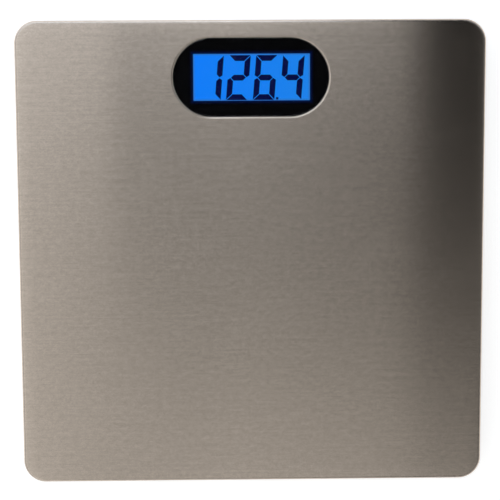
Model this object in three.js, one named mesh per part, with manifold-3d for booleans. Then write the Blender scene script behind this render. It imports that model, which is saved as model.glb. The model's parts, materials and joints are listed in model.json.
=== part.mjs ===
// Digital bathroom scale: a pressed stainless platform over a ribbed moulded tray, on four load-cell feet.
// Millimetres, +Z up. The origin is on the floor under the platform's centre, and the display end is +Y.
import * as THREE from "three";
import { mergeVertices } from "three/addons/utils/BufferGeometryUtils.js";
import Module from "manifold-3d";

const wasm = await Module();
wasm.setup();

// ---------------------------------------------------------------- driving dimensions

// Platform cover: a drawn pan, open below.
const PLATE = 300; // side of the square platform
const HEIGHT = 24; // floor to the top of the platform
const PLAN_RADIUS = 13; // corners seen from above
const SHEET = 0.8; // thickness of the steel
const EDGE_RADIUS = 2.2; // outside radius of the bend between top and skirt
const SKIRT_BOTTOM = 8;
const SHEET_UNDER = HEIGHT - SHEET;

// Display window: a stadium whose edge is rolled down into a lip.
const WINDOW_Y = 113.7;
const WINDOW_STRAIGHT = 24.7; // half of the straight length
const WINDOW_RADIUS = 24.9; // of the round ends, at the lip's face
const LIP_RADIUS = 2.2;
const LIP_BOTTOM = 21.6;

// Lens and what lies under it, from the top down.
const LENS_TOP = 23.3;
const FLANGE_TOP = 21.3;
const FLANGE_RADIUS = 30;
const FLANGE_BOTTOM = 20.1;
const MASK_THICKNESS = 0.3;
const LCD_X = 0.5; // the display sits this far to the right of the window's centre
const LCD_VIEW = { halfX: 36.9, halfY: 14.5 }; // opening of the black surround
const LCD_TOP = 19.5;
const GLASS = 1.4; // one glass of the display with its polariser
const BOARD_TOP = 13;
const BOARD_THICKNESS = 1.6;
const BOARD = { halfX: 54, halfY: 22 };
const BOARD_UNDER = BOARD_TOP - BOARD_THICKNESS;

// Moulded tray.
const TRAY_GAP = 0.4; // between the tray's wall and the skirt
const TRAY_UNDER = 5.5;
const FLOOR = 2; // thickness of the tray's floor
const FLOOR_TOP = TRAY_UNDER + FLOOR;
const TRAY_WALL = 2.2;
const TRAY_EDGE = 3; // radius between the wall and the underside
const RIB = 1.6;
const RIB_PITCH = 42.1;
const RIB_TOP = SHEET_UNDER - 0.3;
const RISE = HEIGHT + 1; // upright walls are made this high, then trimmed together at RIB_TOP
const WELL = { halfX: 57.5, halfY: 31, radius: 8, wall: 2.2 }; // room for the display and its board

// Cover fixings: standoffs under the sheet, screws from below, at four crossings of the ribs.
const FIXING_AT = 1.5 * RIB_PITCH;
const FIXING_SHELF = [9.5, 11.5]; // the boss's shelf between the screw's head and the standoff

// Feet and load cells.
const FOOT_AT = 118; // feet stand this far from both centre lines
const CELL = { half: 17, radius: 4, bottom: 13.5, top: 15.5 };
const CELL_OPENING = 11.5; // half side of the hole inside the cell's outer frame
const TONGUE = { half: 6, tip: -6 };
const POCKET_RADIUS = 24.8;
const POCKET_WALL = 1.8;
const FOOT_PLAY = 0.8; // how far a foot drops when the scale is lifted
const HOOK_HALF = 3; // half the width of a retainer hook

// Battery box, door and cells.
const BATTERY_Y = RIB_PITCH;
const CELL_X = 11.4; // the two coin cells' centres
const COIN = { radius: 10, height: 3.2, bottom: 7.2 };
const BOX = { halfX: 23.2, halfY: 11.2, top: 12.2, wall: 1.6 };
const DOOR = { halfX: 26.3, halfY: 14.3, thickness: 1.5, gap: 0.3 };
const HINGE_Y = BATTERY_Y - DOOR.halfY + DOOR.thickness / 2;
const HINGE_Z = TRAY_UNDER + DOOR.thickness / 2;
const TAB_X = 15;

// Unit button under the board.
const BUTTON_Y = 100;
const BUTTON_TRAVEL = 0.5;

// Leads run at one height through notches in the ribs.
const LEAD_Z = 20.2;
const SENSOR_LEAD = 1.2; // radius of the three-core lead
const BATTERY_LEAD = 0.8;

const CORNERS = [
  ["front_left", -1, 1],
  ["front_right", 1, 1],
  ["back_left", -1, -1],
  ["back_right", 1, -1],
];
const TURNED_SIDES = 20; // sides of turned pieces and round pockets
const SMALL_SIDES = 10; // sides of screws, pins and small bores
const QUARTER = Math.PI / 2;

// ---------------------------------------------------------------- outlines and surfaces

// Points of an arc, both ends included.
function arc(x, y, radius, from, to, steps) {
  return Array.from({ length: steps + 1 }, (_, i) => {
    const angle = from + ((to - from) * i) / steps;
    return new THREE.Vector2(x + radius * Math.cos(angle), y + radius * Math.sin(angle));
  });
}

// Rectangle with rounded corners, anticlockwise.
function roundedRect(halfX, halfY, radius, steps = 5) {
  const signs = [[1, 1], [-1, 1], [-1, -1], [1, -1]];
  return signs.flatMap(([sx, sy], i) => {
    const from = i * QUARTER;
    return arc(sx * (halfX - radius), sy * (halfY - radius), radius, from, from + QUARTER, steps);
  });
}

// Two half circles joined by straight sides, anticlockwise.
function stadium(straight, radius, steps = 12) {
  const right = arc(straight, 0, radius, -QUARTER, QUARTER, steps);
  const left = arc(-straight, 0, radius, QUARTER, 3 * QUARTER, steps);
  return [...right, ...left];
}

function circle(radius, sides = TURNED_SIDES) {
  return arc(0, 0, radius, 0, (2 * Math.PI * (sides - 1)) / sides, sides - 1);
}

// Part of a flat ring, from one angle to the other.
function sector(inner, outer, from, to, steps) {
  return [...arc(0, 0, outer, from, to, steps), ...arc(0, 0, inner, to, from, steps)];
}

function shifted(outline, x, y) {
  return outline.map((point) => new THREE.Vector2(point.x + x, point.y + y));
}

function polygon(pairs) {
  return pairs.map(([x, y]) => new THREE.Vector2(x, y));
}

function geometryOf(points) {
  return new THREE.BufferGeometry().setFromPoints(points);
}

// Triangles between two rings with the same number of points, the upper one first.
// They face away from the rings' centre when the points run anticlockwise.
function band(upper, lower) {
  return upper.flatMap((point, i) => {
    const next = (i + 1) % upper.length;
    return [point, lower[i], upper[next], upper[next], lower[i], lower[next]];
  });
}

// Flat face over an outline with holes.
function cap(outline, holes, z, facesUp) {
  const points = [outline, ...holes].flat();
  const faces = THREE.ShapeUtils.triangulateShape(outline, holes);
  return faces.flatMap(([a, b, c]) => {
    const order = facesUp ? [a, b, c] : [a, c, b];
    return order.map((i) => new THREE.Vector3(points[i].x, points[i].y, z));
  });
}

// The bands of a section carried round an outline. The section lists [inset, z] from the top down the outside.
function carried(outlineAt, section) {
  const rings = section.map(([inset, z]) => outlineAt(inset).map((p) => new THREE.Vector3(p.x, p.y, z)));
  return rings.slice(1).flatMap((ring, i) => band(rings[i], ring));
}

// Solid whose outline changes with height, closed by a face at each end of its section.
function lofted(outlineAt, section) {
  const [firstInset, firstZ] = section.at(0);
  const [lastInset, lastZ] = section.at(-1);
  return geometryOf([
    ...cap(outlineAt(firstInset), [], firstZ, true),
    ...carried(outlineAt, section),
    ...cap(outlineAt(lastInset), [], lastZ, false),
  ]);
}

// ---------------------------------------------------------------- simple solids

// Upright prism of an outline, with holes that go right through.
function prism(outline, bottom, top, holes = []) {
  const shape = new THREE.Shape(outline);
  shape.holes = holes.map((hole) => new THREE.Path(hole));
  const options = { depth: top - bottom, bevelEnabled: false };
  return new THREE.ExtrudeGeometry(shape, options).translate(0, 0, bottom);
}

function block(x0, x1, y0, y1, z0, z1) {
  const box = new THREE.BoxGeometry(x1 - x0, y1 - y0, z1 - z0);
  return box.translate((x0 + x1) / 2, (y0 + y1) / 2, (z0 + z1) / 2);
}

function cylinder(radius, bottom, top, sides = TURNED_SIDES) {
  return prism(circle(radius, sides), bottom, top);
}

// Turned piece: the profile lists [radius, z] upwards on the outside, from the axis to the axis.
// A closed profile, such as a ring's, repeats its first point at the end.
function turned(profile, sides = TURNED_SIDES) {
  return new THREE.LatheGeometry(polygon(profile), sides).rotateX(QUARTER);
}

function ring(inner, outer, bottom, top, sides = TURNED_SIDES) {
  return turned([[inner, bottom], [outer, bottom], [outer, top], [inner, top], [inner, bottom]], sides);
}

// Profile of (y, z) points carried along X.
function alongX(profile, x0, x1) {
  const turn = new THREE.Matrix4().makeBasis(
    new THREE.Vector3(0, 1, 0),
    new THREE.Vector3(0, 0, 1),
    new THREE.Vector3(1, 0, 0),
  );
  return prism(profile, x0, x1).applyMatrix4(turn);
}

// Profile of (x, z) points carried along Y.
function alongY(profile, y0, y1) {
  return prism(profile, -y1, -y0).rotateX(QUARTER);
}

// Flat strip bent along a line of (x, z) points, as an outline of its thickness.
function bentStrip(line, thickness) {
  const points = polygon(line);
  const offset = (side) =>
    points.map((point, i) => {
      const before = points[Math.max(i - 1, 0)];
      const after = points[Math.min(i + 1, points.length - 1)];
      const into = point.clone().sub(i ? before : point.clone().multiplyScalar(2).sub(after)).normalize();
      const out = after.clone().sub(i < points.length - 1 ? point : before).normalize();
      const normal = new THREE.Vector2(-into.y - out.y, into.x + out.x).normalize();
      const mitre = 1 / Math.max(normal.dot(new THREE.Vector2(-out.y, out.x)), 0.5);
      return point.clone().addScaledVector(normal, (side * thickness * mitre) / 2);
    });
  return [...offset(1), ...offset(-1).reverse()];
}

// ---------------------------------------------------------------- joins and cuts

// A closed geometry as a manifold-3d solid.
function toSolid(geometry) {
  const loose = geometry.index ? geometry.toNonIndexed() : geometry;
  const bare = new THREE.BufferGeometry().setAttribute("position", loose.getAttribute("position"));
  const merged = mergeVertices(bare, 1e-4);
  return new wasm.Manifold(
    new wasm.Mesh({
      numProp: 3,
      vertProperties: merged.attributes.position.array,
      triVerts: new Uint32Array(merged.index.array),
    }),
  );
}

function toGeometry(solid) {
  const { vertProperties, triVerts } = solid.getMesh();
  const geometry = new THREE.BufferGeometry();
  geometry.setAttribute("position", new THREE.BufferAttribute(vertProperties, 3));
  geometry.setIndex(new THREE.BufferAttribute(triVerts, 1));
  return geometry;
}

function joined(first, ...others) {
  const start = toSolid(first);
  return toGeometry(others.reduce((solid, other) => solid.add(toSolid(other)), start));
}

function cut(body, ...tools) {
  const start = toSolid(body);
  return toGeometry(tools.reduce((solid, tool) => solid.subtract(toSolid(tool)), start));
}

function common(a, b) {
  return toGeometry(toSolid(a).intersect(toSolid(b)));
}

// ---------------------------------------------------------------- materials and placing

const group = new THREE.Group();

function finish(color, roughness, metalness = 0) {
  return () => new THREE.MeshStandardMaterial({ color, roughness, metalness });
}

const brushedSteel = finish(0x9d958b, 0.38, 1);
const blackPlastic = finish(0x1b1b1c, 0.55);
const greyPlastic = finish(0x4a4b4d, 0.6);
const whitePlastic = finish(0xe4e4e0, 0.5);
const clearPlastic = finish(0x101214, 0.08);
const blackPrint = finish(0x060607, 0.3);
const blueGlass = finish(0x1980ff, 0.25);
const foam = finish(0x2a2a2b, 0.95);
const rubber = finish(0x151515, 0.9);
const greenBoard = finish(0x1d5a34, 0.45);
const nickel = finish(0xc9c6bd, 0.25, 1);
const cellSteel = finish(0xa9a9a6, 0.35, 1);
const zincSteel = finish(0x8f9195, 0.35, 1);
const whiteSealant = finish(0xe9e8e2, 0.7);
const blackEpoxy = finish(0x0d0d0d, 0.35);
const greyLead = finish(0x77787a, 0.6);
const redLead = finish(0xb3211b, 0.55);
const blackLead = finish(0x131313, 0.55);

// Adds one named piece to the object.
function add(name, geometry, material, x = 0, y = 0) {
  const flat = geometry.index ? geometry.toNonIndexed() : geometry;
  flat.computeVertexNormals();
  const mesh = new THREE.Mesh(flat, material());
  mesh.name = name;
  mesh.position.set(x, y, 0);
  group.add(mesh);
}

// ---------------------------------------------------------------- platform cover and lens

// Section of a folded edge, [inset, z]: outside of the bend, down to the raw edge, and back up the inside.
function foldedEdge(radius, bottom, steps = 3) {
  const bend = (r) =>
    Array.from({ length: steps + 1 }, (_, i) => {
      const angle = (i / steps) * QUARTER;
      return [radius - r * Math.sin(angle), HEIGHT - radius + r * Math.cos(angle)];
    });
  return [...bend(radius), [0, bottom], [SHEET, bottom], ...bend(radius - SHEET).reverse()];
}

function windowOutline(offset) {
  return shifted(stadium(WINDOW_STRAIGHT, WINDOW_RADIUS + offset), 0, WINDOW_Y);
}

// The drawn pan: one sheet with its edge bent down all round and the window's edge rolled in.
function platformCover() {
  const rimAt = (inset) => roundedRect(PLATE / 2 - inset, PLATE / 2 - inset, PLAN_RADIUS - inset);
  const holeAt = (offset) => windowOutline(offset).reverse();
  const rim = rimAt(EDGE_RADIUS);
  const hole = holeAt(LIP_RADIUS);
  return geometryOf([
    ...cap(rim, [hole], HEIGHT, true),
    ...cap(rim, [hole], SHEET_UNDER, false),
    ...carried(rimAt, foldedEdge(EDGE_RADIUS, SKIRT_BOTTOM)),
    ...carried(holeAt, foldedEdge(LIP_RADIUS, LIP_BOTTOM)),
  ]);
}

// Clear lens: a plug that fills the window and a wider flange below it.
function displayLens() {
  const plug = -0.3;
  const flange = FLANGE_RADIUS - WINDOW_RADIUS;
  const softened = 0.3;
  return lofted(windowOutline, [
    [plug - softened, LENS_TOP],
    [plug, LENS_TOP - softened],
    [plug, FLANGE_TOP],
    [flange, FLANGE_TOP],
    [flange, FLANGE_BOTTOM],
  ]);
}

// Foam ring between the flange and the sheet, outside the lip.
function lensGasket() {
  const inner = LIP_RADIUS + 0.2;
  const outer = 4.7;
  const section = [
    [inner, SHEET_UNDER],
    [outer, SHEET_UNDER],
    [outer, FLANGE_TOP],
    [inner, FLANGE_TOP],
    [inner, SHEET_UNDER],
  ];
  return geometryOf(carried(windowOutline, section));
}

// Black printed film under the lens, with the display's opening.
function displayMask() {
  const edge = FLANGE_RADIUS - WINDOW_RADIUS - 0.3;
  const opening = shifted(roundedRect(LCD_VIEW.halfX, LCD_VIEW.halfY, 0.6, 2), LCD_X, WINDOW_Y);
  return prism(windowOutline(edge), FLANGE_BOTTOM - MASK_THICKNESS, FLANGE_BOTTOM, [opening]);
}

// ---------------------------------------------------------------- display stack

// Display pieces are drawn about the display's own centre, (LCD_X, WINDOW_Y).
const LCD_HALF_X = 39.3;
const LCD_BACK = 16.75; // the rear glass's half depth, and the front glass's far edge
const LCD_LEDGE = 18.5; // the front glass's near edge, which carries the contacts
const LCD_BOTTOM = LCD_TOP - 2 * GLASS;
const ZEBRA = [-18.4, -17]; // the connector's near and far faces
const GUIDE = { halfX: 37.5, near: -15.4, far: 15.8, bottom: 13.4, top: 16.4 };
const FRAME = { halfX: 44, halfY: 21.5, top: FLANGE_BOTTOM - MASK_THICKNESS };
const LED = { x0: 38.8, x1: 41.2, halfY: 1.8, top: 16 };
const PEG = { x: 41.8, y: 17, radius: 1.1 };

// Two glasses; the front one overhangs as the contact ledge.
function lcdPanel() {
  const profile = polygon([
    [-LCD_BACK, LCD_BOTTOM],
    [LCD_BACK, LCD_BOTTOM],
    [LCD_BACK, LCD_TOP],
    [-LCD_LEDGE, LCD_TOP],
    [-LCD_LEDGE, LCD_TOP - GLASS],
    [-LCD_BACK, LCD_TOP - GLASS],
  ]);
  return alongX(profile, -LCD_HALF_X, LCD_HALF_X);
}

function zebraStrip() {
  const reach = 36.5;
  const [near, far] = ZEBRA;
  const profile = polygon([[near, BOARD_TOP], [far, BOARD_TOP], [far, LCD_TOP - GLASS], [near, LCD_TOP - GLASS]]);
  return alongX(profile, -reach, reach);
}

// Light guide with a notch at each end for its LED and bevelled corners.
function backlightGuide() {
  const { halfX, near, far, bottom, top } = GUIDE;
  const notch = 1;
  const bevel = 2;
  const half = [
    [halfX - bevel, near],
    [halfX, near + bevel],
    [halfX, -LED.halfY],
    [halfX - notch, 1 - LED.halfY],
    [halfX - notch, LED.halfY - 1],
    [halfX, LED.halfY],
    [halfX, far - bevel],
    [halfX - bevel, far],
  ];
  const mirrored = half.map(([x, y]) => [-x, y]).reverse();
  return prism(polygon([...half, ...mirrored]), bottom, top);
}

// Side-view LED: a block with a half-round lens towards the guide.
function backlightLed(side) {
  const lens = arc(0, 0, LED.halfY * 0.7, QUARTER, 3 * QUARTER, 6).map((p) => [LED.x0 + 0.9 + p.x * 0.6, p.y]);
  const body = [[LED.x0 + 0.9, -LED.halfY], [LED.x1, -LED.halfY], [LED.x1, LED.halfY], [LED.x0 + 0.9, LED.halfY]];
  const outline = polygon([...body, ...lens]);
  const facing = side > 0 ? outline : outline.map((p) => new THREE.Vector2(-p.x, p.y)).reverse();
  return prism(facing, BOARD_TOP, LED.top);
}

// Moulded frame: a seat for the display, a room for the guide, slots for the connector and LEDs, and two pegs.
function lcdFrame() {
  const clear = 0.3;
  const { halfX, halfY, top } = FRAME;
  const seatX = LCD_HALF_X + clear;
  const outer = prism(roundedRect(halfX, halfY, 2, 2), BOARD_TOP, top);
  const pegs = [-1, 1].map((side) => {
    const peg = cylinder(PEG.radius, BOARD_UNDER - 0.4, BOARD_TOP + 1, SMALL_SIDES);
    return peg.translate(side * PEG.x, side * PEG.y, 0);
  });
  const seat = block(-seatX, seatX, -LCD_LEDGE - clear, LCD_BACK + clear, LCD_BOTTOM, top + 1);
  const guideX = GUIDE.halfX + clear;
  const room = block(-guideX, guideX, GUIDE.near - 0.2, GUIDE.far + 0.2, BOARD_TOP - 1, LCD_BOTTOM + 1);
  const slot = block(-37, 37, ZEBRA[0] - 0.1, ZEBRA[1] + 0.1, BOARD_TOP - 1, LCD_BOTTOM + 1);
  const lights = [-1, 1].map((side) => {
    const [x0, x1] = [side * (guideX - 1), side * (LED.x1 + 0.4)].sort((a, b) => a - b);
    return block(x0, x1, -LED.halfY - clear, LED.halfY + clear, BOARD_TOP - 1, LED.top + 0.4);
  });
  return cut(joined(outer, ...pegs), seat, room, slot, ...lights);
}

// ---------------------------------------------------------------- board, switch and button

const BOARD_POST = { x: 49.5, y: 17.5, radius: 3.4 };
const BOARD_SCREWS = [["left", -1, 1], ["right", 1, -1]]; // the other two posts carry pins
const SWITCH = { half: 2.6, bottom: 9.4, bore: 1.7 };
const PLUNGER = { radius: 1.45, bottom: 8.9, top: 10.3 };
const BUTTON = { radius: 3.9, bottom: 5.8, flange: 5.4, flangeBottom: FLOOR_TOP + 0.05, flangeTop: 8.45 };
const CHIP_X = 26;

// Circuit board with a hole for each post and frame peg, and a notch in each long side.
function mainBoard() {
  const signs = [-1, 1];
  const posts = signs.flatMap((sx) =>
    signs.map((sy) => shifted(circle(1.5, SMALL_SIDES), sx * BOARD_POST.x, sy * BOARD_POST.y)),
  );
  const pegs = signs.map((side) => {
    return shifted(circle(PEG.radius + 0.3, SMALL_SIDES), LCD_X + side * PEG.x, side * PEG.y);
  });
  const { halfX, halfY } = BOARD;
  const notch = { half: 4, depth: 2 };
  const outline = polygon([
    [-halfX, -halfY],
    [-notch.half, -halfY],
    [-notch.half, notch.depth - halfY],
    [notch.half, notch.depth - halfY],
    [notch.half, -halfY],
    [halfX, -halfY],
    [halfX, halfY],
    [-halfX, halfY],
  ]);
  return prism(outline, BOARD_UNDER, BOARD_TOP, [...posts, ...pegs]);
}

// Epoxy drop over the bonded chip, on the board's underside.
function controllerCap() {
  const radius = 7;
  const depth = 1.6;
  const steps = 4;
  const dome = Array.from({ length: steps + 1 }, (_, i) => {
    const angle = (i / steps) * QUARTER;
    return [radius * Math.sin(angle), BOARD_UNDER - depth * Math.cos(angle)];
  });
  return turned([...dome, [0, BOARD_UNDER]], SMALL_SIDES);
}

// Self-tapping screw: pan head up, shank down to its point.
function boardScrew() {
  const top = BOARD_TOP + 1.5;
  const profile = [
    [0, 8],
    [0.9, 8.9],
    [1.1, BOARD_TOP],
    [2.4, BOARD_TOP],
    [2.4, top - 0.6],
    [1.7, top],
    [0, top],
  ];
  const slot = block(-1.5, 1.5, -0.25, 0.25, top - 0.7, top + 1);
  return cut(turned(profile, SMALL_SIDES), slot);
}

// Tact switch with a blind bore for its plunger.
function unitSwitch() {
  const { half, bottom, bore } = SWITCH;
  const room = cylinder(bore, bottom - 1, PLUNGER.top + BUTTON_TRAVEL + 0.1, SMALL_SIDES);
  return cut(prism(roundedRect(half, half, 0.4, 2), bottom, BOARD_UNDER), room);
}

function switchPlunger() {
  const { radius, bottom, top } = PLUNGER;
  return turned([[0, bottom], [radius - 0.2, bottom], [radius, bottom + 0.2], [radius, top], [0, top]], SMALL_SIDES);
}

// Push button: a dished cap through the floor, a flange that keeps it in, and a nub on the plunger.
function unitButton() {
  const { radius, bottom, flange, flangeBottom, flangeTop } = BUTTON;
  return turned([
    [0, bottom + 0.4],
    [radius - 1, bottom],
    [radius, bottom + 0.3],
    [radius, flangeBottom],
    [flange, flangeBottom],
    [flange, flangeTop],
    [1.5, flangeTop],
    [1.5, PLUNGER.bottom - 0.05],
    [0, PLUNGER.bottom - 0.05],
  ]);
}

// ---------------------------------------------------------------- feet and load cells

// Square spring-steel plate whose U-shaped slot leaves a tongue: the foot lifts the tongue, the tray holds the rim.
function loadCell() {
  const open = CELL_OPENING;
  const { half, tip } = TONGUE;
  const round = 1.5;
  const slot = [
    ...arc(open - round, open - round, round, 0, QUARTER, 2),
    new THREE.Vector2(half, open),
    ...arc(half - round, tip + round, round, 0, -QUARTER, 2),
    ...arc(round - half, tip + round, round, -QUARTER, -2 * QUARTER, 2),
    new THREE.Vector2(-half, open),
    ...arc(round - open, open - round, round, QUARTER, 2 * QUARTER, 2),
    ...arc(round - open, round - open, round, 2 * QUARTER, 3 * QUARTER, 2),
    ...arc(open - round, round - open, round, 3 * QUARTER, 4 * QUARTER, 2),
  ];
  return prism(roundedRect(CELL.half, CELL.half, CELL.radius, 3), CELL.bottom, CELL.top, [slot]);
}

// Sealant over the strain gauge at the tongue's root: an oval dome.
function gaugePotting() {
  const steps = 3;
  const dome = Array.from({ length: steps + 1 }, (_, i) => {
    const angle = (i / steps) * QUARTER;
    return [Math.cos(angle), Math.sin(angle)];
  });
  return turned([[0, 0], ...dome], 10).scale(4.5, 3, 1.6).translate(0, 7.5, CELL.top);
}

// Ring that snaps into the pocket: its lip holds the foot in, its posts hold the cell's corners up,
// and two hooks with wedge-shaped nibs spring into the pocket's windows.
function footRetainer() {
  const lip = 18.2;
  const outer = POCKET_RADIUS - 0.3;
  const body = ring(lip, outer, TRAY_UNDER, FLOOR_TOP);
  const half = (8 * Math.PI) / 180;
  const posts = [0, 1, 2, 3].map((i) => {
    const middle = (i + 0.5) * QUARTER;
    const outline = sector(20.4, 24, middle - half, middle + half, 1);
    return prism(outline, FLOOR_TOP - 0.2, CELL.bottom - 0.1);
  });
  const nib = polygon([
    [outer - 1.6, FLOOR_TOP - 0.2],
    [outer - 0.4, FLOOR_TOP - 0.2],
    [outer - 0.4, 8.2],
    [outer + 1.4, 8.2],
    [outer - 0.4, 9.6],
    [outer - 1.6, 9.6],
  ]);
  const hooks = [0, 1].map((i) => alongY(nib, -HOOK_HALF, HOOK_HALF).rotateZ(i * Math.PI));
  return joined(body, ...posts, ...hooks);
}

// Foot: a dish with a stud that bears on the tongue, radial ribs, and a flange over the retainer's lip.
function footCup() {
  const flangeBottom = FLOOR_TOP + FOOT_PLAY;
  const body = turned([
    [0, 2.4],
    [16.3, 2.4],
    [16.3, 1.5],
    [17.6, 1.5],
    [17.6, flangeBottom],
    [19.6, flangeBottom],
    [19.6, flangeBottom + 1.6],
    [16, flangeBottom + 1.6],
    [16, 4.2],
    [5, 4.2],
    [3.6, CELL.bottom - 0.1],
    [0, CELL.bottom - 0.1],
  ]);
  const ribs = [0, 1].map((i) => block(-16.5, 16.5, -0.6, 0.6, 4, 8).rotateZ(i * QUARTER));
  return joined(body, ...ribs);
}

// Rubber pad with a bevelled edge, seated in the dish under the foot.
function footPad() {
  return turned([[0, 0], [15.2, 0], [16, 0.8], [16, 2.4], [0, 2.4]]);
}

// ---------------------------------------------------------------- battery

const DOOR_TOP = TRAY_UNDER + DOOR.thickness;
const STRIP = 0.3; // thickness of the contact strip
const STRIP_HALF = 2; // half its width
const COIN_TOP = COIN.bottom + COIN.height;

// Door: its hinge edge is a half round about the hinge line, two tabs hook behind the floor,
// and slots beside the middle of the free edge leave a latch tongue with grip grooves.
function batteryDoor() {
  const radius = DOOR.thickness / 2;
  const free = BATTERY_Y + DOOR.halfY;
  const edge = arc(HINGE_Y, HINGE_Z, radius, QUARTER, 3 * QUARTER, 6);
  const profile = [...edge, new THREE.Vector2(free, TRAY_UNDER), new THREE.Vector2(free, DOOR_TOP)];
  const plate = alongX(profile, -DOOR.halfX, DOOR.halfX);
  const tabs = [-TAB_X, TAB_X].map((x) => block(x - 2.5, x + 2.5, HINGE_Y - 3.1, HINGE_Y + 2, 6.5, 7.5));
  const slots = [-5, 5].map((x) => block(x - 0.4, x + 0.4, free - 8, free + 1, 5, 8));
  const grooves = [2, 3.6, 5.2].map((back) => {
    const y = free - back;
    return block(-4, 4, y - 0.35, y + 0.35, TRAY_UNDER - 1, TRAY_UNDER + 0.4);
  });
  return cut(joined(plate, ...tabs), ...slots, ...grooves);
}

// Coin cell with its smaller negative cap up.
function coinCell() {
  const { radius, bottom } = COIN;
  return turned([
    [0, bottom],
    [radius - 0.5, bottom],
    [radius, bottom + 0.5],
    [radius, COIN_TOP - 0.6],
    [radius - 0.6, COIN_TOP - 0.3],
    [radius - 1.4, COIN_TOP - 0.3],
    [radius - 1.4, COIN_TOP],
    [0, COIN_TOP],
  ]);
}

const TAIL_X = 26.4; // the contacts' tails stand outside the box's end walls
const TAIL_TOP = 15;
const SLOT_Z = 11.55;

// Side contact on the left cell's can.
function contactPlus() {
  const line = [
    [-TAIL_X, TAIL_TOP],
    [-TAIL_X, SLOT_Z],
    [-22.6, SLOT_Z],
    [-22.4, 11],
    [-21.65, 9],
    [-22.2, 7.8],
  ];
  return alongY(bentStrip(line, STRIP), -STRIP_HALF, STRIP_HALF);
}

// Spring on the right cell's cap.
function contactMinus() {
  const line = [
    [TAIL_X, TAIL_TOP],
    [TAIL_X, SLOT_Z],
    [18, SLOT_Z],
    [12, COIN_TOP + 0.2],
    [8, SLOT_Z],
  ];
  return alongY(bentStrip(line, STRIP), -STRIP_HALF, STRIP_HALF);
}

// Bridge from the left cell's cap to the right cell's can.
function contactBridge() {
  const line = [
    [-14, SLOT_Z],
    [-10, COIN_TOP + 0.2],
    [-5, SLOT_Z],
    [0.2, SLOT_Z],
    [0.5, 11],
    [1.15, 9.2],
    [0.6, 7.8],
  ];
  return alongY(bentStrip(line, STRIP), -STRIP_HALF, STRIP_HALF);
}

// ---------------------------------------------------------------- leads

// Corner points of each lead's route. All of them run at LEAD_Z between the drop at each end.
const SENSOR_X = 56; // where leads drop to the board, beside the window's lens
const SOLDER_X = 50.5;
const TONGUE_Y = 3.1; // a sensor lead starts on the tongue, next to the potting

function sensorRoute(sx, sy) {
  const x = sx * FOOT_AT;
  const y = sy * FOOT_AT + TONGUE_Y;
  const start = [[x, y, CELL.top + 0.1], [x, y, LEAD_Z]];
  const front = [[sx * SENSOR_X, y, LEAD_Z]];
  const back = [[x, 74, LEAD_Z], [sx * 72, 74, LEAD_Z], [sx * 72, 108, LEAD_Z], [sx * SENSOR_X, 108, LEAD_Z]];
  const run = sy > 0 ? front : back;
  const [, lastY] = run.at(-1);
  const low = BOARD_TOP + SENSOR_LEAD + 0.1;
  return [...start, ...run, [sx * SENSOR_X, lastY, low], [sx * SOLDER_X, lastY, low]];
}

function batteryRoute(sx) {
  const low = BOARD_TOP + BATTERY_LEAD + 0.1;
  return [
    [sx * TAIL_X, BATTERY_Y, TAIL_TOP + 0.1],
    [sx * TAIL_X, BATTERY_Y, LEAD_Z],
    [sx * SENSOR_X, BATTERY_Y, LEAD_Z],
    [sx * SENSOR_X, 100, LEAD_Z],
    [sx * SENSOR_X, 100, low],
    [sx * SOLDER_X, 100, low],
  ];
}

// A route whose corners are cut off, sampled only where it bends.
class BentPath extends THREE.Curve {
  constructor(route, cutBack) {
    super();
    const corners = route.map((point) => new THREE.Vector3(...point));
    const towards = (corner, other) => corner.clone().add(other.clone().sub(corner).setLength(cutBack));
    this.stations = corners.flatMap((corner, i) => {
      if (i === 0 || i === corners.length - 1) return [corner];
      return [towards(corner, corners[i - 1]), towards(corner, corners[i + 1])];
    });
  }

  getPointAt(share) {
    const last = this.stations.length - 1;
    return this.stations[Math.round(share * last)].clone();
  }

  getPoint(share) {
    return this.getPointAt(share);
  }

  getTangentAt(share) {
    const last = this.stations.length - 1;
    const i = Math.round(share * last);
    const before = this.stations[Math.max(i - 1, 0)];
    const after = this.stations[Math.min(i + 1, last)];
    return after.clone().sub(before).normalize();
  }
}

function lead(route, radius) {
  const path = new BentPath(route, 1.5);
  const section = new THREE.Shape(circle(radius, 6));
  const steps = path.stations.length - 1;
  return new THREE.ExtrudeGeometry(section, { steps, extrudePath: path });
}

// Notches for one lead: a square-bottomed channel along each level run of its route.
function channels(route, radius) {
  const level = route.filter(([, , z]) => z === LEAD_Z);
  const half = radius + 0.6;
  return level.slice(1).map(([x1, y1], i) => {
    const [x0, y0] = level[i];
    const [left, right] = [Math.min(x0, x1) - half, Math.max(x0, x1) + half];
    const [near, far] = [Math.min(y0, y1) - half, Math.max(y0, y1) + half];
    return block(left, right, near, far, LEAD_Z - radius - 0.4, RISE + 2);
  });
}

// ---------------------------------------------------------------- tray

// Tray shell: floor, rounded lower edge and chamfered wall, as one section carried round the outline.
function trayShell() {
  const half = PLATE / 2 - SHEET - TRAY_GAP;
  const corner = PLAN_RADIUS - SHEET - TRAY_GAP;
  const outline = (inset) => roundedRect(half - inset, half - inset, corner - inset);
  const lower = arc(0, 0, TRAY_EDGE, 0, QUARTER, 4).map((p) => [TRAY_EDGE - p.x, TRAY_UNDER + TRAY_EDGE - p.y]);
  const chamferBottom = RIB_TOP - 1.8;
  const shell = lofted(outline, [
    [TRAY_WALL, FLOOR_TOP],
    [TRAY_WALL, chamferBottom + TRAY_WALL],
    [0, chamferBottom],
    ...lower,
  ]);
  const inside = prism(outline(TRAY_WALL - 0.3), FLOOR_TOP - 0.2, RISE);
  return { shell, inside };
}

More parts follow.
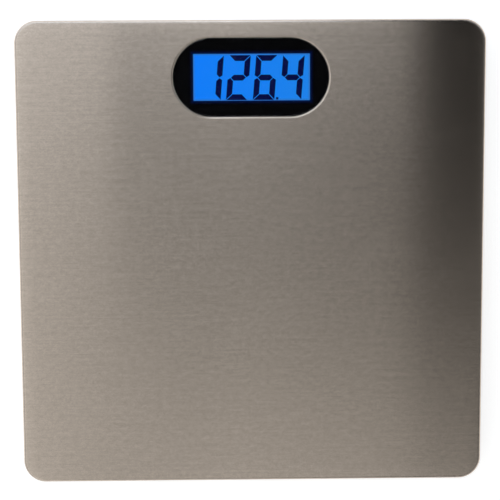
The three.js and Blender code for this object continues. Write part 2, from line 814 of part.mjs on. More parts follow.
// Square lattice of upright ribs over the whole floor.
function ribLattice(inside) {
  const reach = PLATE / 2;
  const lines = [-2.5, -1.5, -0.5, 0.5, 1.5, 2.5].map((n) => n * RIB_PITCH);
  const across = lines.map((y) => block(-reach, reach, y - RIB / 2, y + RIB / 2, FLOOR_TOP - 1, RISE + 1));
  const along = lines.map((x) => block(x - RIB / 2, x + RIB / 2, -reach, reach, FLOOR_TOP - 1, RISE + 1));
  return common(joined(...across, ...along), inside);
}

// Foot pocket: a round tower from the floor to the sheet, with a raised rim below the floor.
function footTower() {
  const wall = POCKET_RADIUS + POCKET_WALL;
  const rim = wall + 0.8;
  return turned([
    [0, TRAY_UNDER - 0.5],
    [rim, TRAY_UNDER - 0.5],
    [rim, TRAY_UNDER + 1],
    [wall, TRAY_UNDER + 1],
    [wall, RISE],
    [0, RISE],
  ]);
}

// What is taken out of a tower: the foot's bore up to the ceiling, a square shaft over the cell's tongue,
// the room above the ceiling, which leaves four gussets, and the windows for the retainer's hooks.
function towerCuts() {
  const ceiling = CELL.top + 2;
  const bore = cylinder(POCKET_RADIUS, TRAY_UNDER - 2, CELL.top);
  const opening = prism(roundedRect(CELL_OPENING, CELL_OPENING, 2, 2), CELL.top - 1, RISE + 1);
  const gussets = [0, 1].map((i) => {
    const wall = block(-POCKET_RADIUS - 1, POCKET_RADIUS + 1, -RIB / 2, RIB / 2, ceiling - 1, RISE + 2);
    return wall.rotateZ((i + 0.5) * QUARTER);
  });
  const room = cut(cylinder(POCKET_RADIUS, ceiling, RISE + 1), ...gussets);
  const outer = POCKET_RADIUS + POCKET_WALL + 0.5;
  const windows = block(-outer, outer, -HOOK_HALF - 0.6, HOOK_HALF + 0.6, 7.9, 10);
  return [bore, opening, room, windows];
}

// Battery box: stepped walls up from the floor, so that the door lies flush on a ledge.
function batteryShell() {
  const { halfX, halfY, top, wall } = BOX;
  const ledgeX = DOOR.halfX + DOOR.gap + wall;
  const ledgeY = DOOR.halfY + DOOR.gap + wall;
  const ledge = prism(roundedRect(ledgeX, ledgeY, 2, 2), TRAY_UNDER + 0.5, DOOR_TOP + 0.1 + wall);
  const box = prism(roundedRect(halfX + wall, halfY + wall, 2, 2), DOOR_TOP, top + wall);
  return joined(ledge, box).translate(0, BATTERY_Y, 0);
}

function batteryCuts() {
  const { halfX, halfY, top, wall } = BOX;
  const doorway = block(
    -DOOR.halfX - DOOR.gap,
    DOOR.halfX + DOOR.gap,
    -DOOR.halfY - DOOR.gap,
    DOOR.halfY + DOOR.gap,
    TRAY_UNDER - 1,
    DOOR_TOP + 0.1,
  );
  const room = prism(roundedRect(halfX, halfY, 2, 2), DOOR_TOP - 1, top);
  const tails = block(-halfX - wall - 1, halfX + wall + 1, -2.5, 2.5, SLOT_Z - 0.45, SLOT_Z + 0.45);
  const scoop = cylinder(7, TRAY_UNDER - 1, TRAY_UNDER + 1).translate(0, DOOR.halfY, 0);
  const hooks = [-TAB_X, TAB_X].map((x) => {
    const hinge = HINGE_Y - BATTERY_Y;
    return block(x - 2.8, x + 2.8, hinge - 3.5, hinge + 2.4, 6.35, 10.2);
  });
  return [doorway, room, tails, scoop, ...hooks].map((tool) => tool.translate(0, BATTERY_Y, 0));
}

// Boss for one cover fixing: counterbore below, shelf, and a socket for the standoff above.
function fixingBoss() {
  return cylinder(5.4, FLOOR_TOP - 0.2, RISE, SMALL_SIDES);
}

function fixingCuts() {
  const [shelfBottom, shelfTop] = FIXING_SHELF;
  return [
    cylinder(3.4, TRAY_UNDER - 1, shelfBottom, SMALL_SIDES),
    cylinder(1.8, shelfBottom - 1, shelfTop + 1, SMALL_SIDES),
    cylinder(3.3, shelfTop, RISE + 1, SMALL_SIDES),
  ];
}

function fixingPlaces() {
  return [-1, 1].flatMap((sx) => [-1, 1].map((sy) => [sx * FIXING_AT, sy * FIXING_AT]));
}

function at(tools, x, y) {
  return tools.map((tool) => tool.clone().translate(x, y, 0));
}

// Four posts under the board: two are drilled for its screws, two end in locating pins.
function boardPosts() {
  const { x, y, radius } = BOARD_POST;
  const places = [-1, 1].flatMap((sx) => [-1, 1].map((sy) => [sx * x, sy * y + WINDOW_Y]));
  const posts = places.flatMap(([px, py]) => {
    return at([cylinder(radius, FLOOR_TOP - 0.2, BOARD_UNDER, SMALL_SIDES)], px, py);
  });
  const pins = BOARD_SCREWS.flatMap(([, sx, sy]) => {
    const pin = cylinder(1.2, BOARD_UNDER - 1, BOARD_TOP + 0.6, SMALL_SIDES);
    return at([pin], -sx * x, sy * y + WINDOW_Y);
  });
  const pilots = BOARD_SCREWS.flatMap(([, sx, sy]) => {
    const pilot = cylinder(1.4, FLOOR_TOP + 0.3, BOARD_UNDER + 1, SMALL_SIDES);
    return at([pilot], sx * x, sy * y + WINDOW_Y);
  });
  return { posts, pins, pilots };
}

// The moulded tray. Walls first, then the pieces that stand in them, then everything that is bored or cut.
function baseTray() {
  const { shell, inside } = trayShell();
  const footPlaces = CORNERS.map(([, sx, sy]) => [sx * FOOT_AT, sy * FOOT_AT]);
  const wellOutline = (extra) => {
    const { halfX, halfY, radius } = WELL;
    return shifted(roundedRect(halfX + extra, halfY + extra, radius + extra, 4), 0, WINDOW_Y);
  };
  const batteryZone = prism(roundedRect(26, 14, 1, 1), FLOOR_TOP, RISE + 2).translate(0, BATTERY_Y, 0);
  const ribs = cut(
    ribLattice(inside),
    prism(wellOutline(WELL.wall / 2), FLOOR_TOP - 1, RISE + 2),
    batteryZone,
    ...footPlaces.flatMap(([x, y]) => at([cylinder(POCKET_RADIUS + 1, FLOOR_TOP - 1, RISE + 2)], x, y)),
  );
  const { posts, pins, pilots } = boardPosts();
  const body = joined(
    shell,
    ribs,
    prism(wellOutline(WELL.wall), FLOOR_TOP - 0.2, RISE - 0.5, [wellOutline(0)]),
    ...footPlaces.flatMap(([x, y]) => at([footTower()], x, y)),
    batteryShell(),
    ...fixingPlaces().flatMap(([x, y]) => at([fixingBoss()], x, y)),
    ...posts,
    ...pins,
  );
  const sensorChannels = CORNERS.flatMap(([, sx, sy]) => channels(sensorRoute(sx, sy), SENSOR_LEAD));
  const batteryChannels = [-1, 1].flatMap((sx) => channels(batteryRoute(sx), BATTERY_LEAD));
  const buttonHole = cylinder(BUTTON.radius + 0.3, TRAY_UNDER - 1, FLOOR_TOP + 1);
  const buttonDish = cylinder(8.5, TRAY_UNDER - 1, TRAY_UNDER + 0.7);
  const trim = block(-PLATE, PLATE, -PLATE, PLATE, RIB_TOP, RISE + 3);
  return cut(
    body,
    ...footPlaces.flatMap(([x, y]) => at(towerCuts(), x, y)),
    ...fixingPlaces().flatMap(([x, y]) => at(fixingCuts(), x, y)),
    ...pilots,
    ...batteryCuts(),
    ...at([buttonHole, buttonDish], 0, BUTTON_Y),
    ...sensorChannels,
    ...batteryChannels,
    trim,
  );
}

// Threaded standoff, welded to the underside of the sheet.
function coverStandoff() {
  return ring(1.75, 3, FIXING_SHELF[1] + 0.3, SHEET_UNDER, SMALL_SIDES);
}

// Machine screw from below.
function coverScrew() {
  const shelf = FIXING_SHELF[0];
  const head = shelf - 2;
  const tip = 18.2;
  const profile = [
    [0, head],
    [2.1, head],
    [2.8, head + 0.7],
    [2.8, shelf],
    [1.45, shelf],
    [1.45, tip - 0.6],
    [1, tip],
    [0, tip],
  ];
  return turned(profile, SMALL_SIDES);
}

// ---------------------------------------------------------------- the object

add("platform_cover", platformCover(), brushedSteel);
add("display_lens", displayLens(), clearPlastic);
add("lens_gasket", lensGasket(), foam);
add("display_mask", displayMask(), blackPrint);

add("lcd_panel", lcdPanel(), blueGlass, LCD_X, WINDOW_Y);
add("zebra_strip", zebraStrip(), rubber, LCD_X, WINDOW_Y);
add("backlight_guide", backlightGuide(), whitePlastic, LCD_X, WINDOW_Y);
add("backlight_led_left", backlightLed(-1), whitePlastic, LCD_X, WINDOW_Y);
add("backlight_led_right", backlightLed(1), whitePlastic, LCD_X, WINDOW_Y);
add("lcd_frame", lcdFrame(), whitePlastic, LCD_X, WINDOW_Y);

add("main_board", mainBoard(), greenBoard, 0, WINDOW_Y);
add("controller_cap", controllerCap(), blackEpoxy, CHIP_X, WINDOW_Y);
for (const [side, sx, sy] of BOARD_SCREWS) {
  add("board_screw_" + side, boardScrew(), zincSteel, sx * BOARD_POST.x, sy * BOARD_POST.y + WINDOW_Y);
}
add("unit_switch", unitSwitch(), blackPlastic, 0, BUTTON_Y);
add("switch_plunger", switchPlunger(), blackPlastic, 0, BUTTON_Y);
add("unit_button", unitButton(), greyPlastic, 0, BUTTON_Y);

add("base_tray", baseTray(), blackPlastic);
for (const [corner, sx, sy] of CORNERS) {
  add("cover_standoff_" + corner, coverStandoff(), zincSteel, sx * FIXING_AT, sy * FIXING_AT);
  add("cover_screw_" + corner, coverScrew(), zincSteel, sx * FIXING_AT, sy * FIXING_AT);
}

add("battery_door", batteryDoor(), blackPlastic);
add("coin_cell_left", coinCell(), nickel, -CELL_X, BATTERY_Y);
add("coin_cell_right", coinCell(), nickel, CELL_X, BATTERY_Y);
add("battery_contact_plus", contactPlus(), nickel, 0, BATTERY_Y);
add("battery_contact_minus", contactMinus(), nickel, 0, BATTERY_Y);
add("battery_contact_bridge", contactBridge(), nickel, 0, BATTERY_Y);
add("battery_lead_plus", lead(batteryRoute(-1), BATTERY_LEAD), redLead);
add("battery_lead_minus", lead(batteryRoute(1), BATTERY_LEAD), blackLead);

for (const [corner, sx, sy] of CORNERS) {
  const [x, y] = [sx * FOOT_AT, sy * FOOT_AT];
  add("load_cell_" + corner, loadCell(), cellSteel, x, y);
  add("gauge_potting_" + corner, gaugePotting(), whiteSealant, x, y);
  add("foot_retainer_" + corner, footRetainer(), blackPlastic, x, y);
  add("foot_cup_" + corner, footCup(), greyPlastic, x, y);
  add("foot_pad_" + corner, footPad(), rubber, x, y);
  add("sensor_lead_" + corner, lead(sensorRoute(sx, sy), SENSOR_LEAD), greyLead);
}

export default group;
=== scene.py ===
# %% [markdown]
# # A digital bathroom scale
#
# The scale is a square pan of brushed stainless steel, folded down at its edges, over a black moulded tray
# that stands on four load-cell feet. An oval window near the far edge shows a blue backlit readout under a
# clear lens.
#
# The solids come from a CAD frame that is already complete. This notebook gives them their finishes, and
# makes smooth versions of the pieces whose curves the CAD solids only show as flats.

# %% Load the frame
import json
import math

import bmesh
import bpy
import numpy as np
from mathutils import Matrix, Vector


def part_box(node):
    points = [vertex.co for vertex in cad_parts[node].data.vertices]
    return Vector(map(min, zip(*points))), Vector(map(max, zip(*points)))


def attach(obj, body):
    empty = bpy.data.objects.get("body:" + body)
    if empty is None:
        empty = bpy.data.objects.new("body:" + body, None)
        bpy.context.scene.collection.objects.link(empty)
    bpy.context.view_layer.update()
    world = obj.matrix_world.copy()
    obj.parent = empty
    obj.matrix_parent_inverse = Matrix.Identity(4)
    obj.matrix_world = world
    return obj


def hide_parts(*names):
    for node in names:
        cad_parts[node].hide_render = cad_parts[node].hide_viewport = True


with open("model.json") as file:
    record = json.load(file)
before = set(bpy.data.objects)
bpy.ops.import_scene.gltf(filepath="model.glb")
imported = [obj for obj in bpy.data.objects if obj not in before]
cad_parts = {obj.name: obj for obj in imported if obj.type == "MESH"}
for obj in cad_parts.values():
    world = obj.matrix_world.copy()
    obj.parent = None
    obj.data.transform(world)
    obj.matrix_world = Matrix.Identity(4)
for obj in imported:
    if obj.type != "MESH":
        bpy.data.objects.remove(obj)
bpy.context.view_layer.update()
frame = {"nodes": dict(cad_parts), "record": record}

MM = 0.001
TINY = 1e-9  # keeps a division safe
WELD = 1e-7  # points closer than this, in metres, are one
nodes = frame["nodes"]
slot_of = {row["node"]: row["material_slot"] for row in frame["record"]["subparts"]}
CORNERS = ["front_left", "front_right", "back_left", "back_right"]

# %% [markdown]
# ## From arrays to a mesh
#
# Every new piece is a surface worked out with numpy: rings of points that follow one another along a
# section. A sphere or a cylinder primitive could be bent into some of these shapes, but a grid of rings
# states each shape as a formula, keeps its faces regular, and gives the exact place of every edge.
#
# All sizes below are in millimetres. They become metres once, when the mesh is made.


# %% Faces of a grid
def grid_faces(rings, around, close_rings=False):
    """Quads between neighbouring points of closed rings that lie end to end: each point, the next one
    round its ring, and the same two on the next ring."""
    i, j = np.meshgrid(np.arange(rings if close_rings else rings - 1), np.arange(around), indexing="ij")
    ahead, beside = (i + 1) % rings, (j + 1) % around
    corners = [i * around + j, i * around + beside, ahead * around + beside, ahead * around + j]
    return np.stack(corners, axis=-1).reshape(-1, 4)


def grid(points, close_rings=False):
    """One part of a piece: its points as a flat list, and its faces. Points are [ring, place on the ring,
    xyz]."""
    rings, around = points.shape[:2]
    return points.reshape(-1, 3), grid_faces(rings, around, close_rings).tolist()


def plate(outline, bottom, top):
    """Upright prism: the outline at two heights, a wall of quads between them, and the outline as both
    caps."""
    count = len(outline)
    low = np.column_stack([outline, np.full(count, bottom)])
    high = np.column_stack([outline, np.full(count, top)])
    wall = grid_faces(2, count).tolist()
    caps = [list(range(count))[::-1], list(range(count, 2 * count))]
    return np.concatenate([low, high]), wall + caps


# %% Rounded sections and turned shapes
def rounded(corners, radii, steps=6):
    """Line through the corners, each cut by a quadratic curve: (1-t)^2 start + 2t(1-t) corner + t^2 end,
    where start and end lie one radius before and after the corner."""
    corners = np.asarray(corners, float)
    cut = np.asarray(radii, float)[:, None]
    before = np.roll(corners, 1, axis=0) - corners
    after = np.roll(corners, -1, axis=0) - corners
    start = corners + cut * before / np.maximum(np.linalg.norm(before, axis=1, keepdims=True), TINY)
    end = corners + cut * after / np.maximum(np.linalg.norm(after, axis=1, keepdims=True), TINY)
    t = np.linspace(0, 1, steps)[None, :, None]
    curve = (1 - t) ** 2 * start[:, None] + 2 * t * (1 - t) * corners[:, None] + t**2 * end[:, None]
    return curve.reshape(-1, 2)


def turned(profile, sides=96, close=False):
    """Surface of revolution about Z: each [radius, z] of the profile becomes radius (cos a, sin a) at
    height z."""
    profile = np.asarray(profile, float)
    angle = np.linspace(0, 2 * np.pi, sides, endpoint=False)
    radius, height = profile[:, :1], profile[:, 1:]
    rings = [radius * np.cos(angle), radius * np.sin(angle), np.repeat(height, sides, axis=1)]
    return grid(np.stack(rings, axis=-1), close)


def moved(part, x=0.0, y=0.0):
    """The same part in another place."""
    points, faces = part
    return points + np.array([x, y, 0.0]), faces


# %% Make a finished piece
def make_piece(name, parts, material, body, replaces=(), sharp=35):
    """Joins the parts in one mesh, closes poles and seams, turns every face outwards, and places the
    piece."""
    points = np.concatenate([part[0] for part in parts]) * MM
    starts = np.cumsum([0] + [len(part[0]) for part in parts])
    faces = [[start + i for i in face] for start, part in zip(starts, parts) for face in part[1]]
    mesh = bpy.data.meshes.new(name)
    mesh.from_pydata(points, [], faces)
    joined = bmesh.new()
    joined.from_mesh(mesh)
    bmesh.ops.remove_doubles(joined, verts=joined.verts, dist=WELD)
    bmesh.ops.recalc_face_normals(joined, faces=joined.faces)
    joined.to_mesh(mesh)
    joined.free()
    return place_piece(name, mesh, material, body, replaces, sharp)


def place_piece(name, mesh, material, body, replaces=(), sharp=35, trim=0):
    """Gives a mesh its smooth shading, material and body, and hides the solids that it stands for.
    Edges over `sharp` degrees stay crisp, and a trim in millimetres breaks them. Normals follow the larger
    faces, so that a flat face beside a bend stays flat."""
    mesh.shade_smooth()
    mesh.set_sharp_from_angle(angle=math.radians(sharp))
    mesh.materials.clear()
    mesh.materials.append(material)
    piece = bpy.data.objects.new(name, mesh)
    bpy.context.scene.collection.objects.link(piece)
    if trim:
        broken = piece.modifiers.new("Broken edges", "BEVEL")
        broken.width, broken.segments, broken.limit_method = trim * MM, 2, "ANGLE"
        broken.angle_limit = math.radians(40)
    piece.modifiers.new("Flat faces stay flat", "WEIGHTED_NORMAL").keep_sharp = True
    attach(piece, body)
    if replaces:
        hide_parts(*replaces)
    print(name, len(mesh.polygons), "faces")
    return piece


def merged_copy(name, node, material, body, sharp=35, trim=0):
    """A solid's own mesh with its loose triangles joined, so that its shallow angles can be shaded smooth."""
    mesh = nodes[node].data.copy()
    mesh.name = name
    joined = bmesh.new()
    joined.from_mesh(mesh)
    bmesh.ops.remove_doubles(joined, verts=joined.verts, dist=2 * WELD)
    nearly_flat = math.radians(0.5)
    bmesh.ops.dissolve_limit(
        joined, angle_limit=nearly_flat, verts=joined.verts, edges=joined.edges, delimit={"NORMAL"}
    )
    joined.to_mesh(mesh)
    joined.free()
    return place_piece(name, mesh, material, body, [node], sharp=sharp, trim=trim)


# %% [markdown]
# ## Shared effects
#
# Three effects come back in many finishes: the lines that a brushing belt leaves, the fine spark-eroded
# texture of a mould, and the faint marks of hands and cleaning. Each is a node group with its sizes as
# inputs, so that steel, zinc and nickel share one grain at their own scale. Painting each material by hand
# would repeat the same nodes.


# %% Node helpers
def put(tree, kind, inputs=None, **settings):
    """Adds one node. An input is a value, or another node's output socket, which is then linked."""
    node = tree.nodes.new(kind)
    for key, value in settings.items():
        setattr(node, key, value)
    feed(tree, node, inputs or {})
    return node


def feed(tree, node, inputs):
    """Sets or links a node's inputs, named by their sockets."""
    for key, value in inputs.items():
        if isinstance(value, bpy.types.NodeSocket):
            tree.links.new(value, node.inputs[key])
        else:
            node.inputs[key].default_value = value


def maths(tree, operation, *values):
    """One sum of numbers or sockets."""
    return put(tree, "ShaderNodeMath", dict(enumerate(values)), operation=operation).outputs[0]


def noise(tree, place, detail, roughness=0.5, distortion=0.0):
    """Noise whose bumps are one unit apart, between 0 and 1."""
    settings = {"Scale": 1.0, "Detail": detail, "Roughness": roughness, "Distortion": distortion}
    return put(tree, "ShaderNodeTexNoise", {"Vector": place, **settings}).outputs["Fac"]


def spread_of(tree, value, low, high, least=0.3, most=0.7, **settings):
    """A value's usual span, least to most, stretched over low to high."""
    spans = {"From Min": least, "From Max": most, "To Min": low, "To Max": high}
    return put(tree, "ShaderNodeMapRange", {"Value": value, **spans}, **settings).outputs["Result"]


def in_sizes(tree, place, size):
    """A place divided by a size, so that one unit of a pattern has that size."""
    share = maths(tree, "DIVIDE", 1.0, size)
    return put(tree, "ShaderNodeVectorMath", {0: place, "Scale": share}, operation="SCALE").outputs[0]


# %% Group helpers
def new_group(name, inputs, outputs):
    """An empty node group with its sockets. Inputs are a place and sizes in metres, and outputs are
    numbers."""
    tree = bpy.data.node_groups.new(name, "ShaderNodeTree")
    tree.interface.new_socket(name="Vector", in_out="INPUT", socket_type="NodeSocketVector")
    for socket, usual in inputs.items():
        made = tree.interface.new_socket(name=socket, in_out="INPUT", socket_type="NodeSocketFloat")
        made.default_value = usual
    for socket in outputs:
        tree.interface.new_socket(name=socket, in_out="OUTPUT", socket_type="NodeSocketFloat")
    print("group", name, "with", list(inputs), "gives", outputs)
    return tree, put(tree, "NodeGroupInput").outputs, put(tree, "NodeGroupOutput")


def place_group(tree, group, place, **sizes):
    """Places a shared effect. Names of sizes use _ for the blanks in the sockets' names."""
    node = put(tree, "ShaderNodeGroup", node_tree=group)
    feed(tree, node, {"Vector": place, **{key.replace("_", " "): size for key, size in sizes.items()}})
    return node.outputs


# %% [markdown]
# ### Brushed lines
#
# A brushing belt leaves lines that are longer than they are wide. Noise does the same when its coordinates
# are divided by a length along the lines and by a width across them. Two sizes of noise are mixed, because
# a belt's grit is never all of one size.

# %% Brushed lines
brushed, given, result = new_group("Brushed lines", {"Length": 0.02, "Width": 0.0005}, ["Lines"])
stretch = put(brushed, "ShaderNodeCombineXYZ", {0: given["Length"], 1: given["Width"], 2: given["Width"]})
along = put(brushed, "ShaderNodeVectorMath", {0: given["Vector"], 1: stretch.outputs[0]}, operation="DIVIDE")
finer = put(brushed, "ShaderNodeVectorMath", {0: along.outputs[0], 1: (3.1, 2.7, 2.7)}, operation="MULTIPLY")
coarse_grit = noise(brushed, along.outputs[0], 3.0, 0.65)
fine_grit = noise(brushed, finer.outputs[0], 2.0, 0.6)
mixed = put(brushed, "ShaderNodeMix", {"Factor": 0.45, "A": coarse_grit, "B": fine_grit})
feed(brushed, result, {"Lines": mixed.outputs["Result"]})

# %% [markdown]
# ### Moulded texture
#
# The inside of a plastic mould is spark-eroded to a fine, even roughness, which hides scratches and sink
# marks. A rounded noise at a few tenths of a millimetre gives the pits, and a slow noise gives the change
# in tone where the plastic cooled unevenly.

# %% Moulded texture
moulded, given, result = new_group(
    "Moulded texture", {"Pit size": 0.0004, "Flow size": 0.04}, ["Pits", "Tone"]
)
pits = noise(moulded, in_sizes(moulded, given["Vector"], given["Pit size"]), 2.0, 0.55)
flow = noise(moulded, in_sizes(moulded, given["Vector"], given["Flow size"]), 3.0, 0.5, 0.6)
feed(moulded, result, {"Pits": pits, "Tone": flow})

# %% [markdown]
# ### Handling marks
#
# Bare feet, hands and a wiping cloth leave soft, cloudy marks that show only as a change in gloss. A
# distorted noise is pushed through a smooth threshold, so that most of the surface stays clean.

# %% Handling marks
handling, given, result = new_group("Handling marks", {"Size": 0.05}, ["Marks"])
cloud = noise(handling, in_sizes(handling, given["Vector"], given["Size"]), 4.0, 0.6, 1.2)
soft_edge = spread_of(handling, cloud, 0.0, 1.0, 0.5, 0.72, interpolation_type="SMOOTHSTEP")
feed(handling, result, {"Marks": soft_edge})

# %% [markdown]
# ## Finishes
#
# Each finish below starts from the Principled shader. What is the same all over a surface is a number on
# the shader's own socket, and what changes over it comes from the shared effects.


# %% Helpers for finishes
def new_finish(name, **sockets):
    """A material with its node tree, its Principled shader, and plain values on the sockets that are
    named."""
    material = bpy.data.materials.new(name)
    material.use_nodes = True
    tree = material.node_tree
    shader = tree.nodes["Principled BSDF"]
    feed(tree, shader, {key.replace("_", " "): value for key, value in sockets.items()})
    print("finish", name)
    return material, tree, shader


def places(tree):
    """Object coordinates: the place in metres on the finished piece."""
    return put(tree, "ShaderNodeTexCoord").outputs["Object"]


def two_tones(tree, factor, dark, light):
    """A colour between two tones, each a plain colour or another node's output."""
    tones = [tone if isinstance(tone, bpy.types.NodeSocket) else (*tone, 1) for tone in (dark, light)]
    mix = put(tree, "ShaderNodeMix", {"Factor": factor, "A": tones[0], "B": tones[1]}, data_type="RGBA")
    return mix.outputs["Result"]


def bumped(tree, shader, height, depth):
    """Feeds a height pattern to the shader's normal, depth in metres."""
    bump = put(tree, "ShaderNodeBump", {"Height": height, "Distance": depth, "Strength": 1.0})
    feed(tree, shader, {"Normal": bump.outputs["Normal"]})


# %% [markdown]
# ### Brushed stainless steel
#
# The sheet was brushed flat, in lines from left to right, before it was pressed. The lines therefore follow
# the sheet over its bends: level along the front and back skirts, and upright on the sides. The piece
# carries a map of the flat sheet, and both the lines and the shader's tangent read it.
#
# Across the lines the steel is rough and along them it is smooth, so a lamp smears at a right angle to the
# lines. An anisotropic shader does that. A bump of real scratches could too, but only with far more
# samples. Short lines and a few long ones vary the colour by a tenth, and the gloss and the height by very
# little.

# %% Brushed stainless steel
steel, tree, shader = new_finish(
    "Brushed stainless steel", Metallic=1.0, Anisotropic=1.0, Anisotropic_Rotation=0.25
)
sheet = put(tree, "ShaderNodeUVMap", uv_map="flat sheet").outputs["UV"]
tangent = put(tree, "ShaderNodeTangent", direction_type="UV_MAP", uv_map="flat sheet").outputs["Tangent"]
short_lines = place_group(tree, brushed, sheet, Length=0.0042, Width=0.0029)["Lines"]
long_lines = place_group(tree, brushed, sheet, Length=0.06, Width=0.0014)["Lines"]
grain = put(tree, "ShaderNodeMix", {"Factor": 0.35, "A": short_lines, "B": long_lines}).outputs["Result"]
steel_tone = spread_of(tree, grain, 0.0, 1.0, 0.4, 0.6)
marks = place_group(tree, handling, sheet, Size=0.05)["Marks"]
feed(tree, shader, {
    "Base Color": two_tones(tree, steel_tone, (0.560, 0.490, 0.422), (0.670, 0.584, 0.511)),
    "Roughness": maths(tree, "MULTIPLY_ADD", marks, 0.015, spread_of(tree, grain, 0.2155, 0.2205)),
    "Tangent": tangent,
})
bumped(tree, shader, grain, 0.0000007)

# %% [markdown]
# ### Plated metals
#
# The screws and standoffs are zinc plated, the coin cells and their contacts nickel plated, and the load
# cells blanked from spring steel. They share one recipe and differ in colour, gloss and the size of their
# grain.


# %% Plated metals
def plated_metal(name, dark, light, rough, grain_length, grain_width):
    """A metal with fine drawing lines in colour and gloss, and cloudy handling marks."""
    material, tree, shader = new_finish(name, Metallic=1.0)
    place = places(tree)
    lines = place_group(tree, brushed, place, Length=grain_length, Width=grain_width)["Lines"]
    marks = place_group(tree, handling, place, Size=0.008)["Marks"]
    gloss = spread_of(tree, lines, rough - 0.05, rough + 0.05)
    feed(tree, shader, {
        "Base Color": two_tones(tree, lines, dark, light),
        "Roughness": maths(tree, "MULTIPLY_ADD", marks, 0.12, gloss),
    })
    bumped(tree, shader, lines, 0.000003)
    return material


zinc = plated_metal("Zinc plate", (0.50, 0.51, 0.54), (0.66, 0.67, 0.70), 0.30, 0.0008, 0.0008)
nickel = plated_metal("Nickel plate", (0.60, 0.57, 0.51), (0.74, 0.71, 0.65), 0.20, 0.006, 0.0002)
spring_steel = plated_metal("Spring steel", (0.42, 0.42, 0.41), (0.58, 0.58, 0.56), 0.34, 0.012, 0.0003)

# %% [markdown]
# ### Moulded plastics
#
# Tray, door and retainers are black ABS with a spark-eroded texture, the foot cups and the button are grey,
# and the display's frame and light guide are white. The pits go into the normal and the slow tone into the
# colour.


# %% Moulded plastics
def moulded_plastic(name, dark, light, rough, pit=0.0004, depth=0.00001, coat=0.0):
    """A plastic with pits in its normal and gloss, and a slow change of tone."""
    material, tree, shader = new_finish(name, Coat_Weight=coat, Coat_Roughness=0.2)
    texture = place_group(tree, moulded, places(tree), Pit_size=pit, Flow_size=0.03)
    feed(tree, shader, {
        "Base Color": two_tones(tree, texture["Tone"], dark, light),
        "Roughness": spread_of(tree, texture["Pits"], rough - 0.06, rough + 0.06),
    })
    bumped(tree, shader, texture["Pits"], depth)
    return material


black_plastic = moulded_plastic("Black moulded plastic", (0.026, 0.026, 0.028), (0.044, 0.044, 0.046), 0.5)
grey_plastic = moulded_plastic("Grey moulded plastic", (0.15, 0.152, 0.158), (0.20, 0.202, 0.208), 0.5)
white_plastic = moulded_plastic(
    "White moulded plastic", (0.72, 0.72, 0.70), (0.84, 0.84, 0.82), 0.42, depth=0.000004
)
epoxy = moulded_plastic(
    "Black epoxy", (0.006, 0.006, 0.006), (0.014, 0.014, 0.013), 0.28, pit=0.0012, coat=0.4
)
sealant = moulded_plastic(
    "White sealant", (0.66, 0.66, 0.62), (0.82, 0.82, 0.78), 0.55, pit=0.0009, depth=0.00003
)

# %% [markdown]
# ### Rubber, foam and insulation
#
# These are soft and matt. Rubber shows a bloom, a paler dusty tone that grows on its surface. Foam tape
# shows cut cells, which a Voronoi pattern gives. The leads have smooth insulation with a slight sheen.


# %% Rubber, foam and insulation
def rubber_finish(name, dark, bloom, rough, cell=0.0006, depth=0.00002):
    """A rubber with cells or pores in its normal and gloss, and a cloudy bloom over its colour."""
    material, tree, shader = new_finish(name)
    place = places(tree)
    pores = put(tree, "ShaderNodeTexVoronoi", {"Vector": place, "Scale": 1 / cell}).outputs["Distance"]
    marks = place_group(tree, handling, place, Size=0.012)["Marks"]
    feed(tree, shader, {
        "Base Color": two_tones(tree, marks, dark, bloom),
        "Roughness": spread_of(tree, pores, rough - 0.05, rough + 0.05),
    })
    bumped(tree, shader, pores, depth)
    return material


foot_rubber = rubber_finish("Foot rubber", (0.016, 0.016, 0.017), (0.045, 0.045, 0.046), 0.8)
foam = rubber_finish(
    "Foam tape", (0.02, 0.02, 0.021), (0.035, 0.035, 0.036), 0.92, cell=0.0004, depth=0.00012
)
grey_lead = rubber_finish("Grey sheath", (0.17, 0.172, 0.178), (0.22, 0.222, 0.228), 0.5, depth=0.000006)
red_lead = rubber_finish("Red insulation", (0.44, 0.02, 0.014), (0.54, 0.04, 0.03), 0.45, depth=0.000004)
black_lead = rubber_finish(
    "Black insulation", (0.014, 0.014, 0.015), (0.03, 0.03, 0.032), 0.45, depth=0.000004
)

# %% [markdown]
# ### Connector strip and circuit board
#
# The display's rubber connector is a sandwich of conducting and insulating layers, a fraction of a
# millimetre apart, so it is striped along its length. The board is fibreglass under a green solder mask:
# copper tracks stand under the mask as slightly raised, paler bands, and the joints of a brick pattern with
# long bricks read as tracks.

# %% Connector strip
connector, tree, shader = new_finish("Layered connector", Roughness=0.7)
wave = put(tree, "ShaderNodeTexWave", {"Vector": places(tree), "Scale": 640.0}, bands_direction="X")
layers = wave.outputs["Fac"]
feed(tree, shader, {"Base Color": two_tones(tree, layers, (0.01, 0.01, 0.01), (0.22, 0.20, 0.17))})
bumped(tree, shader, layers, 0.00001)

# %% Circuit board
laminate, tree, shader = new_finish("Circuit board", Coat_Weight=0.3, Coat_Roughness=0.15)
place = places(tree)
brick = {"Scale": 60.0, "Mortar Size": 0.012, "Mortar Smooth": 0.2, "Brick Width": 0.9, "Row Height": 0.1}
tracks = put(tree, "ShaderNodeTexBrick", {"Vector": place, **brick}).outputs["Fac"]
weave = place_group(tree, moulded, place, Pit_size=0.0007, Flow_size=0.02)
mask = two_tones(tree, weave["Tone"], (0.012, 0.085, 0.03), (0.022, 0.12, 0.045))
feed(tree, shader, {
    "Base Color": two_tones(tree, tracks, mask, (0.06, 0.24, 0.08)),
    "Roughness": spread_of(tree, weave["Pits"], 0.32, 0.44),
})
bumped(tree, shader, tracks, 0.00003)

# %% [markdown]
# ### Clear lens
#
# The lens is polished acrylic. Its gloss comes from a coat-free dielectric with full transmission, and only
# the faintest handling marks change its roughness, so that the readout stays sharp under it.

